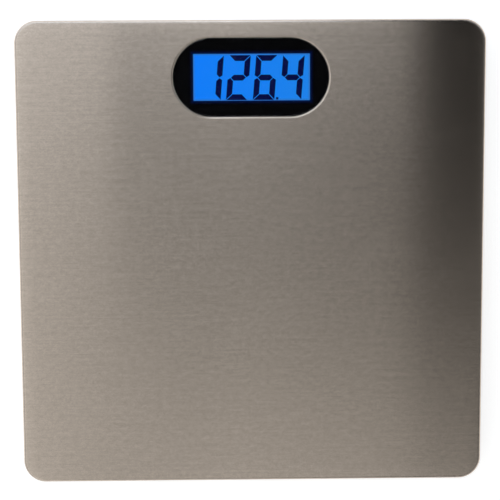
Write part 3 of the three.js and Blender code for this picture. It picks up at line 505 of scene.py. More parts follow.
# %% Clear lens
clear, tree, shader = new_finish(
    "Clear acrylic", Transmission_Weight=1.0, IOR=1.38, Base_Color=(0.93, 0.95, 0.96, 1)
)
marks = place_group(tree, handling, places(tree), Size=0.02)["Marks"]
feed(tree, shader, {"Roughness": spread_of(tree, marks, 0.01, 0.035, 0, 1)})

# %% [markdown]
# ### Lit display
#
# Two glasses with polarisers let a blue backlight through. The lamp at the left end is the stronger one, so
# the blue pales a little from left to right, and it dims over the last millimetre before the printed
# surround, which shades it. The glow is the shader's own emission, so no lamp has to fit in the 3 mm behind
# the glass.

# %% Lit display
glass_low, glass_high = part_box("lcd_panel")
glass_middle = (glass_low + glass_high) / 2
# The opening's half width, half height and place, in metres.
OPENING_X, OPENING_Y, OPENING_MIDDLE_Y = 0.0372, 0.01485, 0.1137
DIMMED_BORDER = 0.0014


def beyond_opening(tree):
    """How far a point lies outside the display's opening, in metres, and below zero inside it: the greater
    of |x| - half width and |y| - half height."""
    back = (-glass_middle.x, -OPENING_MIDDLE_Y, 0)
    centred = put(tree, "ShaderNodeMapping", {"Vector": places(tree), "Location": back}, vector_type="POINT")
    apart = put(tree, "ShaderNodeSeparateXYZ", {0: centred.outputs[0]})
    over = [
        maths(tree, "SUBTRACT", maths(tree, "ABSOLUTE", apart.outputs[axis]), half)
        for axis, half in (("X", OPENING_X), ("Y", OPENING_Y))
    ]
    return maths(tree, "MAXIMUM", *over)


display, tree, shader = new_finish(
    "Lit display", Roughness=0.4, Specular_IOR_Level=0.1, Emission_Strength=1.0,
    Base_Color=(0.004, 0.012, 0.03, 1),
)
near_edge = spread_of(tree, beyond_opening(tree), 0.0, 1.0, -DIMMED_BORDER, 0.0)
uneven = place_group(tree, moulded, places(tree), Pit_size=0.001, Flow_size=0.03)["Tone"]
across = put(tree, "ShaderNodeSeparateXYZ", {0: places(tree)}).outputs["X"]
from_left = spread_of(tree, across, 0.0, 0.8, -OPENING_X, OPENING_X)
paler = maths(tree, "MULTIPLY_ADD", uneven, 0.3, from_left)
glow = two_tones(tree, paler, (0.0015, 0.215, 1.04), (0.012, 0.24, 0.86))
feed(tree, shader, {"Emission Color": two_tones(tree, near_edge, glow, (0.03, 0.17, 0.56))})

# %% [markdown]
# ### Printed surround
#
# The black ink round the display is the darkest thing on the scale. Close to the opening it has a painted
# glow: a little blue emission on the ink stands in for the light that the lens carries sideways from the
# lit glass. The painted glow fades out within three millimetres.

# %% Printed surround
# How far the painted glow reaches out from the opening, in metres.
PAINTED_GLOW_REACH = 0.003
black_print, tree, shader = new_finish(
    "Black print and painted glow", Roughness=0.5, Specular_IOR_Level=0.04, Emission_Strength=1.0
)
ink = place_group(tree, moulded, places(tree), Pit_size=0.0004, Flow_size=0.03)
# Painted glow: a faint blue emission on the ink near the opening stands in for the display's light that the
# lens carries sideways.
painted_glow_share = spread_of(tree, beyond_opening(tree), 0.0, 1.0, PAINTED_GLOW_REACH, 0.0, interpolation_type="SMOOTHSTEP")
feed(tree, shader, {
    "Base Color": two_tones(tree, ink["Tone"], (0.0008, 0.0007, 0.0014), (0.0016, 0.0014, 0.0026)),
    "Emission Color": two_tones(tree, maths(tree, "MULTIPLY", painted_glow_share, painted_glow_share), (0, 0, 0), (0, 0.006, 0.05)),
})
bumped(tree, shader, ink["Pits"], 0.000002)

# %% [markdown]
# ### Lit segments
#
# A segment of the display turns dark when it is driven: the liquid crystal blocks the backlight, apart from
# a little deep blue that leaks through. The leak is a weak emission with a slight change of tone.

# %% Segments
segment_ink, tree, shader = new_finish(
    "Dark segments", Roughness=0.5, Specular_IOR_Level=0.1, Emission_Strength=1.0,
    Base_Color=(0.001, 0.002, 0.008, 1),
)
leak = place_group(tree, moulded, places(tree), Pit_size=0.0008, Flow_size=0.01)["Tone"]
feed(tree, shader, {"Emission Color": two_tones(tree, leak, (0, 0.0015, 0.040), (0, 0.0030, 0.060))})

# %% Every solid gets the finish of its slot
finish_of = {
    "brushed_cover": steel,
    "clear_lens": clear,
    "black_foam": foam,
    "black_print": black_print,
    "display_glass": display,
    "connector_rubber": connector,
    "white_plastic": white_plastic,
    "board_laminate": laminate,
    "black_epoxy": epoxy,
    "zinc_steel": zinc,
    "black_plastic": black_plastic,
    "grey_plastic": grey_plastic,
    "foot_rubber": foot_rubber,
    "cell_nickel": nickel,
    "spring_steel": spring_steel,
    "gauge_sealant": sealant,
    "grey_lead": grey_lead,
    "red_lead": red_lead,
    "black_lead": black_lead,
}
for name, node in nodes.items():
    for place in node.material_slots:
        place.material = finish_of[slot_of[name]]
print(len(set(slot_of.values())), "slots on", len(slot_of), "solids")

# %% [markdown]
# ## Platform cover
#
# The cover is one sheet, 0.8 mm thick, drawn down round its edge and rolled in round the window. A Solidify
# and Bevel on a cut plane would leave uneven corners, so the sheet is a single closed surface instead: a
# section that starts in the window's lip, crosses the top, turns down the skirt, and comes back along the
# inside. The section's points blend from the window's oval to the square's outline, which share their
# directions from the window's middle.
#
# A drawn pan is never quite flat up to its bend. A soft shoulder therefore sinks by a tenth of a millimetre
# over the last 7 mm, and it makes the reflection curl at the rim as it does on real pressings.

# %% Outlines of the cover
HALF_SIDE, HEIGHT, SHEET, SKIRT_BOTTOM = 150, 24.0, 0.8, 8.0
CORNER, BEND, LIP, LIP_BOTTOM = 14.4, 2.2, 1.4, 21.6
SHOULDER, SHOULDER_TILT = 7.0, math.radians(1.6)
WINDOW_Y, WINDOW_STRAIGHT, WINDOW_RADIUS = 113.7, 24.7, 24.9


def square_outline(half, radius, side_steps, corner_steps):
    """Points and outward normals of a rounded square as complex numbers. One side and one corner, turned
    by the powers of i, give all four."""
    side = half + 1j * np.linspace(radius - half, half - radius, side_steps, endpoint=False)
    angle = np.linspace(0, np.pi / 2, corner_steps, endpoint=False)
    arc = (half - radius) * (1 + 1j) + radius * np.exp(1j * angle)
    quarter = np.concatenate([side, arc])
    facing = np.concatenate([np.ones(side_steps), np.exp(1j * angle)])
    turns = 1j ** np.arange(4)[:, None]
    return (quarter * turns).ravel(), (facing * turns).ravel()


def oval_towards(angle, straight, radius):
    """Where a ray from the middle meets a stadium: on its straight side at height radius, or else on an
    end circle, at straight |cos| + sqrt(radius^2 - (straight sin)^2)."""
    c, s = np.cos(angle), np.sin(angle)
    on_side = radius * np.abs(c) <= straight * np.abs(s)
    to_side = radius / np.maximum(np.abs(s), TINY)
    to_end = straight * np.abs(c) + np.sqrt(np.maximum(radius**2 - (straight * s) ** 2, 0))
    point = np.where(on_side, to_side, to_end) * (c + 1j * s)
    normal = np.where(on_side, 1j * np.sign(s), (point - straight * np.sign(c)) / radius)
    return point, normal


edge_point, edge_normal = square_outline(HALF_SIDE - BEND, CORNER - BEND, side_steps=110, corner_steps=18)
window_middle = 1j * WINDOW_Y
towards_edge = np.angle(edge_point - window_middle)
lip_point, lip_normal = oval_towards(towards_edge, WINDOW_STRAIGHT, WINDOW_RADIUS + LIP)
lip_point = lip_point + window_middle
print(len(edge_point), "points on each ring of the cover")

# %% [markdown]
# ### Section of the sheet
#
# Each row of the section says how far its ring lies from window to edge (0 to 1), its offsets from both
# outlines, its height, and the offsets that the same place had on the flat sheet, which is where the
# brushed lines are read. The outer face is an arc, a straight or the shoulder's parabola, and the inner
# face lies one sheet inside it.

# %% Outer and inner curves of the section
ARC_STEPS, SHOULDER_STEPS = 13, 6
lip_tilt = np.linspace(0, np.pi / 2, ARC_STEPS)
lip_length = LIP * np.pi / 2
lip_centre, inner_lip = HEIGHT - LIP, LIP - SHEET
across_top = np.array([0.003, 0.02, 0.15, 0.4, 0.7, 0.9, 0.98, 0.997])

in_shoulder = np.linspace(0, SHOULDER_TILT, SHOULDER_STEPS, endpoint=False)
tilt = np.concatenate([in_shoulder, np.linspace(SHOULDER_TILT, np.pi / 2, ARC_STEPS)])
along_shoulder = np.minimum(tilt / SHOULDER_TILT, 1)
in_bend = np.maximum(tilt, SHOULDER_TILT)
edge_shift = BEND * np.sin(in_bend) - SHOULDER * (1 - along_shoulder)
edge_length = BEND * in_bend - SHOULDER * (1 - along_shoulder)
drop = SHOULDER * SHOULDER_TILT / 2 * along_shoulder**2
edge_height = HEIGHT - drop - BEND * (math.cos(SHOULDER_TILT) - np.cos(in_bend))
inner_shift, inner_height = edge_shift - SHEET * np.sin(tilt), edge_height - SHEET * np.cos(tilt)
skirt_flat = edge_length[-1] + edge_height[-1] - SKIRT_BOTTOM
print("the shoulder sinks", round(float(drop[-1]), 3), "mm")

# %% Rows of the section
SKIRT_TRIM, LIP_TRIM, LIP_STRAIGHT = 0.12, 0.1, 0.8


def section_rows(blend, lip_offset, edge_offset, height, lip_flat, edge_flat):
    """Rows of the section, each column a number or an array."""
    columns = map(np.atleast_1d, (blend, lip_offset, edge_offset, height, lip_flat, edge_flat))
    return np.stack(np.broadcast_arrays(*columns), 1)


lip_end = LIP_BOTTOM + LIP_TRIM
skirt_end = SKIRT_BOTTOM + SKIRT_TRIM
skirt_faces = [BEND - SKIRT_TRIM, BEND - SHEET + SKIRT_TRIM]
lip_faces = [-inner_lip - LIP_TRIM, -LIP + LIP_TRIM]
outer_arc, inner_arc = lip_centre + LIP * np.sin(lip_tilt), lip_centre + inner_lip * np.cos(lip_tilt)
section = np.concatenate([
    section_rows(0, -LIP, 0, lip_end, -lip_length - LIP_STRAIGHT, 0),
    section_rows(0, -LIP * np.cos(lip_tilt), 0, outer_arc, LIP * lip_tilt - lip_length, 0),
    section_rows(across_top, 0, edge_shift[0], HEIGHT, 0, edge_length[0]),
    section_rows(1, 0, edge_shift, edge_height, 0, edge_length),
    section_rows(1, 0, BEND, skirt_end, 0, skirt_flat - SKIRT_TRIM),
    section_rows(1, 0, skirt_faces, SKIRT_BOTTOM, 0, skirt_flat),
    section_rows(1, 0, BEND - SHEET, skirt_end, 0, skirt_flat - SKIRT_TRIM),
    section_rows(1, 0, inner_shift[::-1], inner_height[::-1], 0, edge_length[::-1]),
    section_rows(across_top[::-1], 0, edge_shift[0], HEIGHT - SHEET, 0, edge_length[0]),
    section_rows(0, -inner_lip * np.sin(lip_tilt), 0, inner_arc, -LIP * lip_tilt, 0),
    section_rows(0, -inner_lip, 0, lip_end, -lip_length - LIP_STRAIGHT, 0),
    section_rows(0, lip_faces, 0, LIP_BOTTOM, -lip_length - LIP_STRAIGHT - LIP_TRIM, 0),
])
print(len(section), "rings in the section")

# %% The cover as one closed surface
blend, lip_offset, edge_offset, height, lip_flat, edge_flat = section.T[:, :, None]


def between(lip_shift, edge_shift):
    """Rings between both outlines: (1 - blend)(window + its normal x shift) + blend (edge + its normal x
    shift)."""
    by_window = lip_point + lip_normal * lip_shift
    by_edge = edge_point + edge_normal * edge_shift
    return (1 - blend) * by_window + blend * by_edge


rings = between(lip_offset, edge_offset)
cover_points = np.stack([rings.real, rings.imag, np.broadcast_to(height, rings.shape)], axis=-1)
flat_sheet = between(lip_flat, edge_flat).ravel() * MM
points, faces = grid(cover_points, close_rings=True)
cover_mesh = bpy.data.meshes.new("brushed_platform")
cover_mesh.from_pydata(points * MM, [], faces)
sheet_map = cover_mesh.uv_layers.new(name="flat sheet")
corner_vertex = np.empty(len(cover_mesh.loops), np.int32)
cover_mesh.loops.foreach_get("vertex_index", corner_vertex)
sheet_map.data.foreach_set("uv", np.column_stack([flat_sheet.real, flat_sheet.imag])[corner_vertex].ravel())
place_piece("brushed_platform", cover_mesh, steel, "platform", ["platform_cover"], sharp=50)

# %% [markdown]
# ## Lens
#
# The lens is a plug with a wider flange that rests under the sheet. Rings of growing distance from the
# oval's spine give its top, its softened edge, its wall and the flange, and come back along its underside.
# The underside stays 0.05 mm clear of the printed film, because two surfaces in the same place would show
# through each other in spots.

# %% Lens
LENS_PLAY, FLANGE_TOP, FLANGE_REACH, FILM_GAP = 0.3, 21.3, 30, 0.05


def oval_rings(reach, height, steps=48):
    """Rings about the window's spine: spine end + reach (cos a, sin a), for half a turn at each end."""
    angle = np.linspace(-np.pi / 2, np.pi / 2, steps)
    out = np.exp(1j * np.concatenate([angle, angle + np.pi]))
    spine = np.concatenate([np.full(steps, WINDOW_STRAIGHT), np.full(steps, -WINDOW_STRAIGHT)])
    ring = spine + np.asarray(reach)[:, None] * out + window_middle
    return np.stack([ring.real, ring.imag, np.broadcast_to(np.asarray(height)[:, None], ring.shape)], axis=-1)


def box_in_mm(node):
    """A solid's lowest and highest corners in millimetres."""
    return [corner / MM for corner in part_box(node)]


lens_low, lens_high = box_in_mm("display_lens")
wall, underside = WINDOW_RADIUS - LENS_PLAY, lens_low.z + FILM_GAP
lens_corners = [
    [0, lens_high.z],
    [wall, lens_high.z],
    [wall, FLANGE_TOP],
    [FLANGE_REACH, FLANGE_TOP],
    [FLANGE_REACH, underside],
    [0, underside],
]
lens_section = rounded(lens_corners, radii=[0, 0.35, 0.1, 0.2, 0.2, 0])
lens_faces = oval_rings(lens_section[:, 0], lens_section[:, 1])
make_piece("clear_lens", [grid(lens_faces)], clear, "platform", ["display_lens"])

# %% [markdown]
# ## Printed film
#
# Under the lens lies a black film with a slightly rounded opening for the display. It is two rings, the
# opening and the oval of the lens's flange, at the heights of both faces. The points of each corner of the
# opening fan out to a quarter turn of the oval, so the two rings count the same.

# %% Printed film
FILM_REACH, OPENING_ROUND = 29.7, 0.6
film_low, film_high = box_in_mm("display_mask")
across, up = OPENING_X / MM, OPENING_Y / MM
opening_corners = [[across, -up], [across, up], [-across, up], [-across, -up]]
opening = rounded(opening_corners, [OPENING_ROUND] * 4, steps=24)
film_faces = oval_rings([FILM_REACH] * 4, [film_low.z, film_low.z, film_high.z, film_high.z])
film_faces[[0, 3], :, :2] = opening + [glass_middle.x / MM, OPENING_MIDDLE_Y / MM]
make_piece("printed_film", [grid(film_faces, close_rings=True)], black_print, "platform", ["display_mask"])

# %% [markdown]
# ## Readout
#
# The digits are seven-segment figures, 28 mm tall and leaning almost five degrees. Each segment is a thin
# plate with mitred ends, laid just over the display's glass. Drawing them in the display's material would
# need a formula for every segment, and a font would not give their mitres.

# %% Segment outlines
WIDE, HIGH, HALF_STROKE, GAP = 5.05, 12.4, 1.82, 0.3
outer_x, inner_x = WIDE + HALF_STROKE, WIDE - HALF_STROKE
outer_y, inner_y = HIGH + HALF_STROKE, HIGH - HALF_STROKE
top_bar = np.array([
    [-WIDE - HALF_STROKE + GAP, outer_y],
    [-WIDE + HALF_STROKE + GAP, inner_y],
    [inner_x - GAP, inner_y],
    [outer_x - GAP, outer_y],
])
middle_bar = np.array([
    [-WIDE + GAP, 0],
    [-WIDE + HALF_STROKE + GAP, -HALF_STROKE],
    [inner_x - GAP, -HALF_STROKE],
    [WIDE - GAP, 0],
    [inner_x - GAP, HALF_STROKE],
    [-WIDE + HALF_STROKE + GAP, HALF_STROKE],
])
right_bar = np.array([
    [outer_x, outer_y - GAP],
    [inner_x, inner_y - GAP],
    [inner_x, HALF_STROKE + GAP],
    [WIDE, GAP],
    [outer_x, HALF_STROKE * 0.6 + GAP],
])
SEGMENTS = {
    "top": top_bar,
    "middle": middle_bar,
    "bottom": top_bar * [1, -1],
    "upper_right": right_bar,
    "lower_right": right_bar * [1, -1],
    "upper_left": right_bar * [-1, 1],
    "lower_left": right_bar * [-1, -1],
}
FIGURES = {
    "1": ["upper_right", "lower_right"],
    "2": ["top", "upper_right", "middle", "lower_left", "bottom"],
    "6": ["top", "upper_left", "middle", "lower_left", "lower_right", "bottom"],
    "4": ["upper_left", "upper_right", "middle", "lower_right"],
}
print("a figure is", 2 * outer_y, "mm tall")

# %% Readout plates
READOUT, FIRST_DIGIT, DIGIT_PITCH, DIGIT_Y = "1264", -25.6, 17.165, 113.42
LEAN = math.tan(math.radians(4.7))
DOT_X, DOT_DROP, DOT_SIDE = 16.6, 14.0, 1.5
ink_bottom, ink_top = glass_high.z / MM + 0.02, glass_high.z / MM + 0.06


def leaning(outline, x):
    """An outline leaned over by its height and moved to its digit: x + height tan(lean)."""
    place_x = glass_middle.x / MM + x
    outline = np.column_stack([outline[:, 0] + outline[:, 1] * LEAN + place_x, outline[:, 1] + DIGIT_Y])
    return plate(outline, ink_bottom, ink_top)


plates = [
    leaning(SEGMENTS[segment], FIRST_DIGIT + i * DIGIT_PITCH)
    for i, figure in enumerate(READOUT)
    for segment in FIGURES[figure]
]
dot = np.array([[0, 0], [DOT_SIDE, 0], [DOT_SIDE, DOT_SIDE], [0, DOT_SIDE]]) - [0, DOT_DROP]
plates.append(leaning(dot, DOT_X))
make_piece("readout_segments", plates, segment_ink, "platform", sharp=20)

# %% [markdown]
# ## Tray and door
#
# The tray is a complex moulding whose ribs, bosses and pockets the CAD solid already has. Its triangles are
# joined in a copy, and edges under 35 degrees are shaded smooth, which rounds its lower edge and its bores.
# Rebuilding it by hand would only lose its detail.

# %% Tray and door
merged_copy("tray_moulding", "base_tray", black_plastic, "platform")
merged_copy("door_moulding", "battery_door", black_plastic, "battery_door", sharp=30, trim=0.15)

# %% [markdown]
# ## Feet
#
# Each foot is a cup that carries the load to its sensor, a rubber pad set in the cup, and a ring that keeps
# the cup in its pocket. All are turned shapes, so each is one profile spun round, a list of [radius,
# height]. The pad's tread is four rings cut in the profile, and the cup's ribs and the ring's posts are
# small prisms joined to it.


# %% Profiles of the foot
def radial_bars(inner, outer, half_width, bottom, top, turns):
    """Upright bars from one radius to another, one at each angle in turns."""
    side = 1j * half_width
    bar = np.array([inner - side, outer - side, outer + side, inner + side])
    at_angle = bar * np.exp(1j * np.asarray(turns))[:, None]
    return [plate(np.column_stack([line.real, line.imag]), bottom, top) for line in at_angle]


groove = np.array([[-0.55, 0.0], [-0.3, 0.5], [0.3, 0.5], [0.55, 0.0]])
tread = np.concatenate([groove + [radius, 0.0] for radius in (3.5, 7.0, 10.5, 13.5)])
pad_profile = np.concatenate([[[0, 0]], tread, [[15.2, 0], [15.75, 0.25], [16, 0.8], [16, 2.4], [0, 2.4]]])
cup_under = [[0, 2.4], [16.3, 2.4], [16.3, 1.5], [17.6, 1.5], [17.6, 8.3], [19.6, 8.3]]
cup_over = [[19.6, 9.9], [16, 9.9], [16, 4.2], [5, 4.2], [3.6, 13.4], [0, 13.4]]
cup_profile = rounded(cup_under + cup_over, [0, 0.1, 0.25, 0.4, 0.3, 0.2, 0.3, 0.3, 0.8, 1.2, 0.6, 0])
ring_profile = rounded([[18.2, 5.5], [24.4, 5.5], [24.4, 7.5], [18.2, 7.5]], [0.35, 0.35, 0.2, 0.2])
rim_profile = rounded([[24.55, 5.0], [27.45, 5.0], [27.45, 6.5], [24.55, 6.5]], [0.3, 0.5, 0.1, 0.1])
quarter_turns = np.arange(4) * np.pi / 2


def at_middle_of(node, parts):
    """The parts of a turned piece, moved to stand round the middle of a solid's box."""
    low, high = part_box(node)
    x, y = (low.x + high.x) / 2 / MM, (low.y + high.y) / 2 / MM
    return [moved(part, x, y) for part in parts]


# %% Build the four feet
pad = [turned(pad_profile)]
ribs = radial_bars(inner=4, outer=16.2, half_width=0.6, bottom=4.0, top=8.0, turns=quarter_turns)
cup = [turned(cup_profile), *ribs]
diagonal, both_sides = quarter_turns + np.pi / 4, [0, np.pi]
posts = radial_bars(inner=20.4, outer=23.9, half_width=3.1, bottom=7.3, top=13.4, turns=diagonal)
hooks = radial_bars(inner=22.9, outer=24.1, half_width=3.0, bottom=7.3, top=9.6, turns=both_sides)
nibs = radial_bars(inner=24.0, outer=25.6, half_width=3.0, bottom=8.2, top=8.7, turns=both_sides)
retainer = [turned(ring_profile, close=True), *posts, *hooks, *nibs]
rim = [turned(rim_profile, close=True)]
for corner in CORNERS:
    foot, middle = "foot_" + corner, "foot_pad_" + corner
    make_piece("rubber_pad_" + corner, at_middle_of(middle, pad), foot_rubber, foot, ["foot_pad_" + corner])
    make_piece("load_cup_" + corner, at_middle_of(middle, cup), grey_plastic, foot, ["foot_cup_" + corner])
    in_pocket = at_middle_of(middle, retainer)
    make_piece("snap_ring_" + corner, in_pocket, black_plastic, "platform", ["foot_retainer_" + corner])
    round_pocket = at_middle_of(middle, rim)
    make_piece("pocket_rim_" + corner, round_pocket, black_plastic, "platform")

# %% [markdown]
# ## Button and screws
#
# The button's dished cap is turned. A screw's head is one too, but its cross recess is a height on a polar
# grid: the depth is full where a point lies inside either arm of the cross, and falls off over a tenth of a
# millimetre.

# %% Unit button
cap_under = [[0, 6.2], [2.9, 5.8], [3.9, 5.85], [3.9, 7.55], [5.4, 7.55], [5.4, 8.45]]
cap_stem = [[1.5, 8.45], [1.5, 8.85], [0, 8.85]]
button_profile = rounded(cap_under + cap_stem, [0, 0.5, 0.3, 0.1, 0.1, 0.1, 0.1, 0.1, 0])
button_low, button_high = box_in_mm("unit_button")
button = [moved(turned(button_profile), 0, (button_low.y + button_high.y) / 2)]
make_piece("button_cap", button, grey_plastic, "unit_button", ["unit_button"])

# %% Screw heads
EDGE_ROUND, DOME_RISE = 0.3, 0.35
CROSS_REACH, CROSS_HALF, CROSS_FLARE, CROSS_WALL = 1.75, 0.28, 0.1, 0.12
CROSS_DEPTH, CROSS_SLOPE = 1.15, 0.45


def screw_head(radius, bottom, top, sides=120, steps=40):
    """Head seen from below: a dome whose height falls with the square of the radius, with a cross pressed
    into it. The cross is the nearer of two arms, and a smooth step turns the distance from it into depth."""
    flat = radius - EDGE_ROUND
    round_edge = flat + EDGE_ROUND * np.sin(np.linspace(0.2, np.pi / 2, 6))
    r = np.concatenate([np.linspace(0, flat, steps), round_edge])
    angle = np.linspace(0, 2 * np.pi, sides, endpoint=False)
    x, y = r[:, None] * np.cos(angle), r[:, None] * np.sin(angle)
    share = r[:, None] / radius
    arm = CROSS_HALF + CROSS_FLARE * (1 - share)
    arm_on_x = np.maximum(np.abs(x) - CROSS_REACH, np.abs(y) - arm)
    arm_on_y = np.maximum(np.abs(y) - CROSS_REACH, np.abs(x) - arm)
    inside = np.clip(-np.minimum(arm_on_x, arm_on_y) / CROSS_WALL, 0, 1)
    depth = inside**2 * (3 - 2 * inside) * (CROSS_DEPTH - CROSS_SLOPE * r[:, None] / CROSS_REACH)
    edge = np.maximum(r - flat, 0)[:, None] / EDGE_ROUND
    dome = DOME_RISE * share**2 + EDGE_ROUND * (1 - np.sqrt(1 - edge**2))
    under = np.stack([x, y, bottom + dome + depth], axis=-1)
    rim = np.stack([x[-1:], y[-1:], np.full((1, sides), top)], axis=-1)
    return grid(np.concatenate([under, rim, rim * [0, 0, 1]]))


# %% Threads and screws
def thread(radius, root, bottom, top, pitch, sides=24, per_turn=12):
    """Screw thread: the radius swings between root and crest with height plus a share of the turn, so the
    rings climb one pitch for each turn. The last ring closes the point."""
    rings = int((top - bottom) / pitch * per_turn)
    z = np.linspace(bottom, top, rings)[:, None]
    angle = np.linspace(0, 2 * np.pi, sides, endpoint=False)
    swing = np.abs(((z / pitch - angle / (2 * np.pi)) % 1) * 2 - 1)
    r = root + (radius - root) * swing
    r[0], r[-1] = root, 0.02
    return grid(np.stack([r * np.cos(angle), r * np.sin(angle), np.broadcast_to(z, r.shape)], axis=-1))


for corner in CORNERS:
    solid = "cover_screw_" + corner
    low, high = box_in_mm(solid)
    head = screw_head(radius=2.8, bottom=low.z, top=9.5)
    shank = thread(radius=1.45, root=1.2, bottom=9.4, top=high.z, pitch=0.5)
    screw = at_middle_of(solid, [head, shank])
    make_piece("machine_screw_" + corner, screw, zinc, "platform", [solid], sharp=50)

# %% [markdown]
# ## Studio
#
# The scale lies on a white sweep under a lit ceiling, 0.8 m up. Brushed steel shows the room more than its
# own colour, so the gradient that gives the sheet its shape is in this ceiling, as a sum of four soft
# boxes: a broad one that is brighter on the left and ends in a dark strip at the right, one beyond the
# scale, one before it, and a fill far out on the right. Each is a curve from left to right, for the last
# three times a curve from front to back.
#
# Between the far and the near box the camera looks down through a dark gap. The lens mirrors that gap and
# stays black, while the brushed steel smears both boxes across it. Area lamps would do as well, but each
# would show its straight edge in the steel. The world is white where a camera, a mirror or a lens looks at
# it, and dimmer as a lamp. The light from beyond the scale is a little cooler than the light before it.


# %% Floor, see-through from below
def light_path_white(tree):
    """1 for rays that should see the white background: from the camera, from gloss and through clear
    pieces."""
    path = put(tree, "ShaderNodeLightPath").outputs
    seen = maths(tree, "MAXIMUM", path["Is Camera Ray"], path["Is Glossy Ray"])
    return maths(tree, "MAXIMUM", seen, path["Is Transmission Ray"])


FLOOR_LIFT = 0.74
floor_finish, tree, shader = new_finish(
    "White sweep", Roughness=0.9, Base_Color=(0.8, 0.8, 0.8, 1), Specular_IOR_Level=0.0,
    Emission_Color=(1, 1, 1, 1),
)
feed(tree, shader, {"Emission Strength": maths(tree, "MULTIPLY", light_path_white(tree), FLOOR_LIFT)})
from_below = put(tree, "ShaderNodeNewGeometry").outputs["Backfacing"]
clear_side = put(tree, "ShaderNodeBsdfTransparent").outputs[0]
see_through = put(tree, "ShaderNodeMixShader", {0: from_below, 1: shader.outputs[0], 2: clear_side})
feed(tree, tree.nodes["Material Output"], {"Surface": see_through.outputs[0]})


def stage_panel(name, x, y, height, material):
    """A flat panel of the studio, between two places in x and two in y. It faces up, or down if y runs
    backwards."""
    mesh = bpy.data.meshes.new(name)
    corners = [(x[0], y[0], height), (x[1], y[0], height), (x[1], y[1], height), (x[0], y[1], height)]
    mesh.from_pydata(corners, [], [[0, 1, 2, 3]])
    mesh.materials.append(material)
    panel = bpy.data.objects.new(name, mesh)
    bpy.context.scene.collection.objects.link(panel)
    return panel


stage_panel("sweep", (-20, 20), (-20, 20), -0.0002, floor_finish)


# %% Curves for the soft boxes
def profile(tree, value, stops):
    """A curve through (place in metres, level) stops, level outside them, for one direction across the
    ceiling."""
    first, last = stops[0][0], stops[-1][0]
    most = max(level for _, level in stops)
    share = spread_of(tree, value, 0.0, 1.0, first, last)
    ramp = put(tree, "ShaderNodeValToRGB", {"Fac": share})
    while len(ramp.color_ramp.elements) < len(stops):
        ramp.color_ramp.elements.new(1.0)
    for element, (place, level) in zip(ramp.color_ramp.elements, stops):
        element.position = (place - first) / (last - first)
        element.color = (level / most,) * 3 + (1,)
    return maths(tree, "MULTIPLY", ramp.outputs["Color"], most)


# %% Levels of the soft boxes
LEFT_TO_RIGHT = [
    (-3.5, 0.35), (-1.0, 0.55), (-0.6, 0.8), (-0.4, 0.8), (-0.27, 0.59), (-0.2, 0.44), (-0.05, 0.25),
    (0.17, 0.152), (0.213, 0.0), (0.29, 0.0), (0.36, 0.1), (0.6, 0.13), (1.8, 0.14), (3.5, 0.35),
]
FAR_ACROSS = [(-0.4, 1.0), (-0.2, 1.4), (0.0, 2.17), (0.1, 1.6), (0.18, 1.3), (0.206, 0.16), (0.22, 0.0)]
FAR_BACK = [
    (0.12, 0.0), (0.2, 0.54), (0.3, 0.52), (0.5, 0.14), (0.8, 0.15), (1.1, 0.85), (1.6, 0.95), (2.4, 0.5),
    (3.5, 0.3),
]
NEAR_ACROSS = [
    (-0.4, 0.028), (-0.2, 0.153), (0.0, 0.37), (0.15, 0.38), (0.2, 0.45), (0.26, 0.42), (0.33, 0.31),
    (0.42, 0.0),
]
NEAR_BACK = [(-3.5, 0.45), (-1.5, 0.24), (-1.0, 0.18), (-0.7, 0.27), (-0.5, 2.0), (-0.35, 1.05), (-0.2, 0.0)]
FILL_ACROSS = [(0.4, 0.0), (0.6, 0.3), (1.1, 0.45), (3.5, 0.4)]
FILL_BACK = [(-3.5, 1.0), (-0.9, 0.8), (-0.4, 0.0), (0.4, 0.0), (0.8, 0.8), (3.5, 1.0)]

# %% The ceiling
CEILING_HALF, CEILING_HEIGHT = 3.5, 0.8
ceiling_finish = bpy.data.materials.new("Soft boxes")
ceiling_finish.use_nodes = True
tree = ceiling_finish.node_tree
tree.nodes.remove(tree.nodes["Principled BSDF"])
place = put(tree, "ShaderNodeSeparateXYZ", {0: places(tree)}).outputs


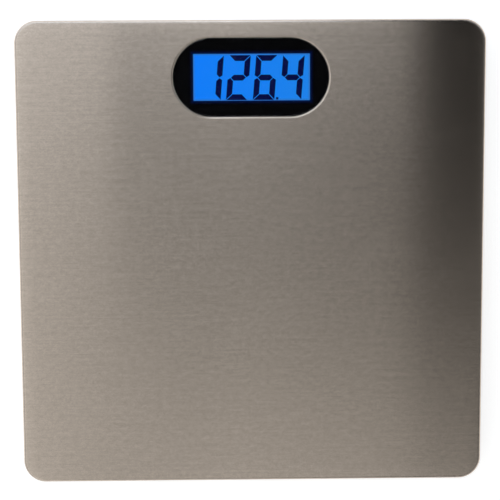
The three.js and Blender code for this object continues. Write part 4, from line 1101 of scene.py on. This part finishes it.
def soft_box(across, back):
    """The level of one box: its curve from left to right times its curve from front to back."""
    return maths(tree, "MULTIPLY", profile(tree, place["X"], across), profile(tree, place["Y"], back))


broad = profile(tree, place["X"], LEFT_TO_RIGHT)
broad_and_fill = maths(tree, "ADD", broad, soft_box(FILL_ACROSS, FILL_BACK))
far_and_near = maths(tree, "ADD", soft_box(FAR_ACROSS, FAR_BACK), soft_box(NEAR_ACROSS, NEAR_BACK))
cooler = spread_of(tree, place["Y"], 0.0, 1.0, -0.1, 1.0)
glow = put(tree, "ShaderNodeEmission", {
    "Color": two_tones(tree, cooler, (1.01, 1.0, 0.97), (0.90, 1.0, 1.14)),
    "Strength": maths(tree, "ADD", broad_and_fill, far_and_near),
})
feed(tree, tree.nodes["Material Output"], {"Surface": glow.outputs[0]})
span = (-CEILING_HALF, CEILING_HALF)
soft_boxes = stage_panel("soft_boxes", span, span[::-1], CEILING_HEIGHT, ceiling_finish)
soft_boxes.visible_camera = False

# %% Dark gap for the camera
gap_finish, tree, shader = new_finish("Camera body", Roughness=0.8, Base_Color=(0.005, 0.005, 0.005, 1))
camera_body = stage_panel("camera_body", (-0.14, 0.17), (0.18, 0.0), CEILING_HEIGHT - 0.01, gap_finish)
camera_body.visible_camera = False

# %% World
world = bpy.data.worlds.new("White studio")
bpy.context.scene.world = world
world.use_nodes = True
tree = world.node_tree
lamp_level = spread_of(tree, light_path_white(tree), 0.55, 1.0, 0.0, 1.0)
feed(tree, tree.nodes["Background"], {"Color": (1, 1, 1, 1), "Strength": lamp_level})

# %% Camera
lens_data = bpy.data.cameras.new("camera")
lens_data.lens, lens_data.sensor_width = 117.0, 36.0
camera = bpy.data.objects.new("camera", lens_data)
camera.location = (-0.01925, 0.1458, 1.0616)
camera.rotation_euler = [math.radians(a) for a in (-7.832, -1.039, -0.284)]
bpy.context.scene.collection.objects.link(camera)
bpy.context.scene.camera = camera
bpy.context.scene.view_settings.view_transform = "Standard"
print("the camera looks down from", camera.location.z, "m")
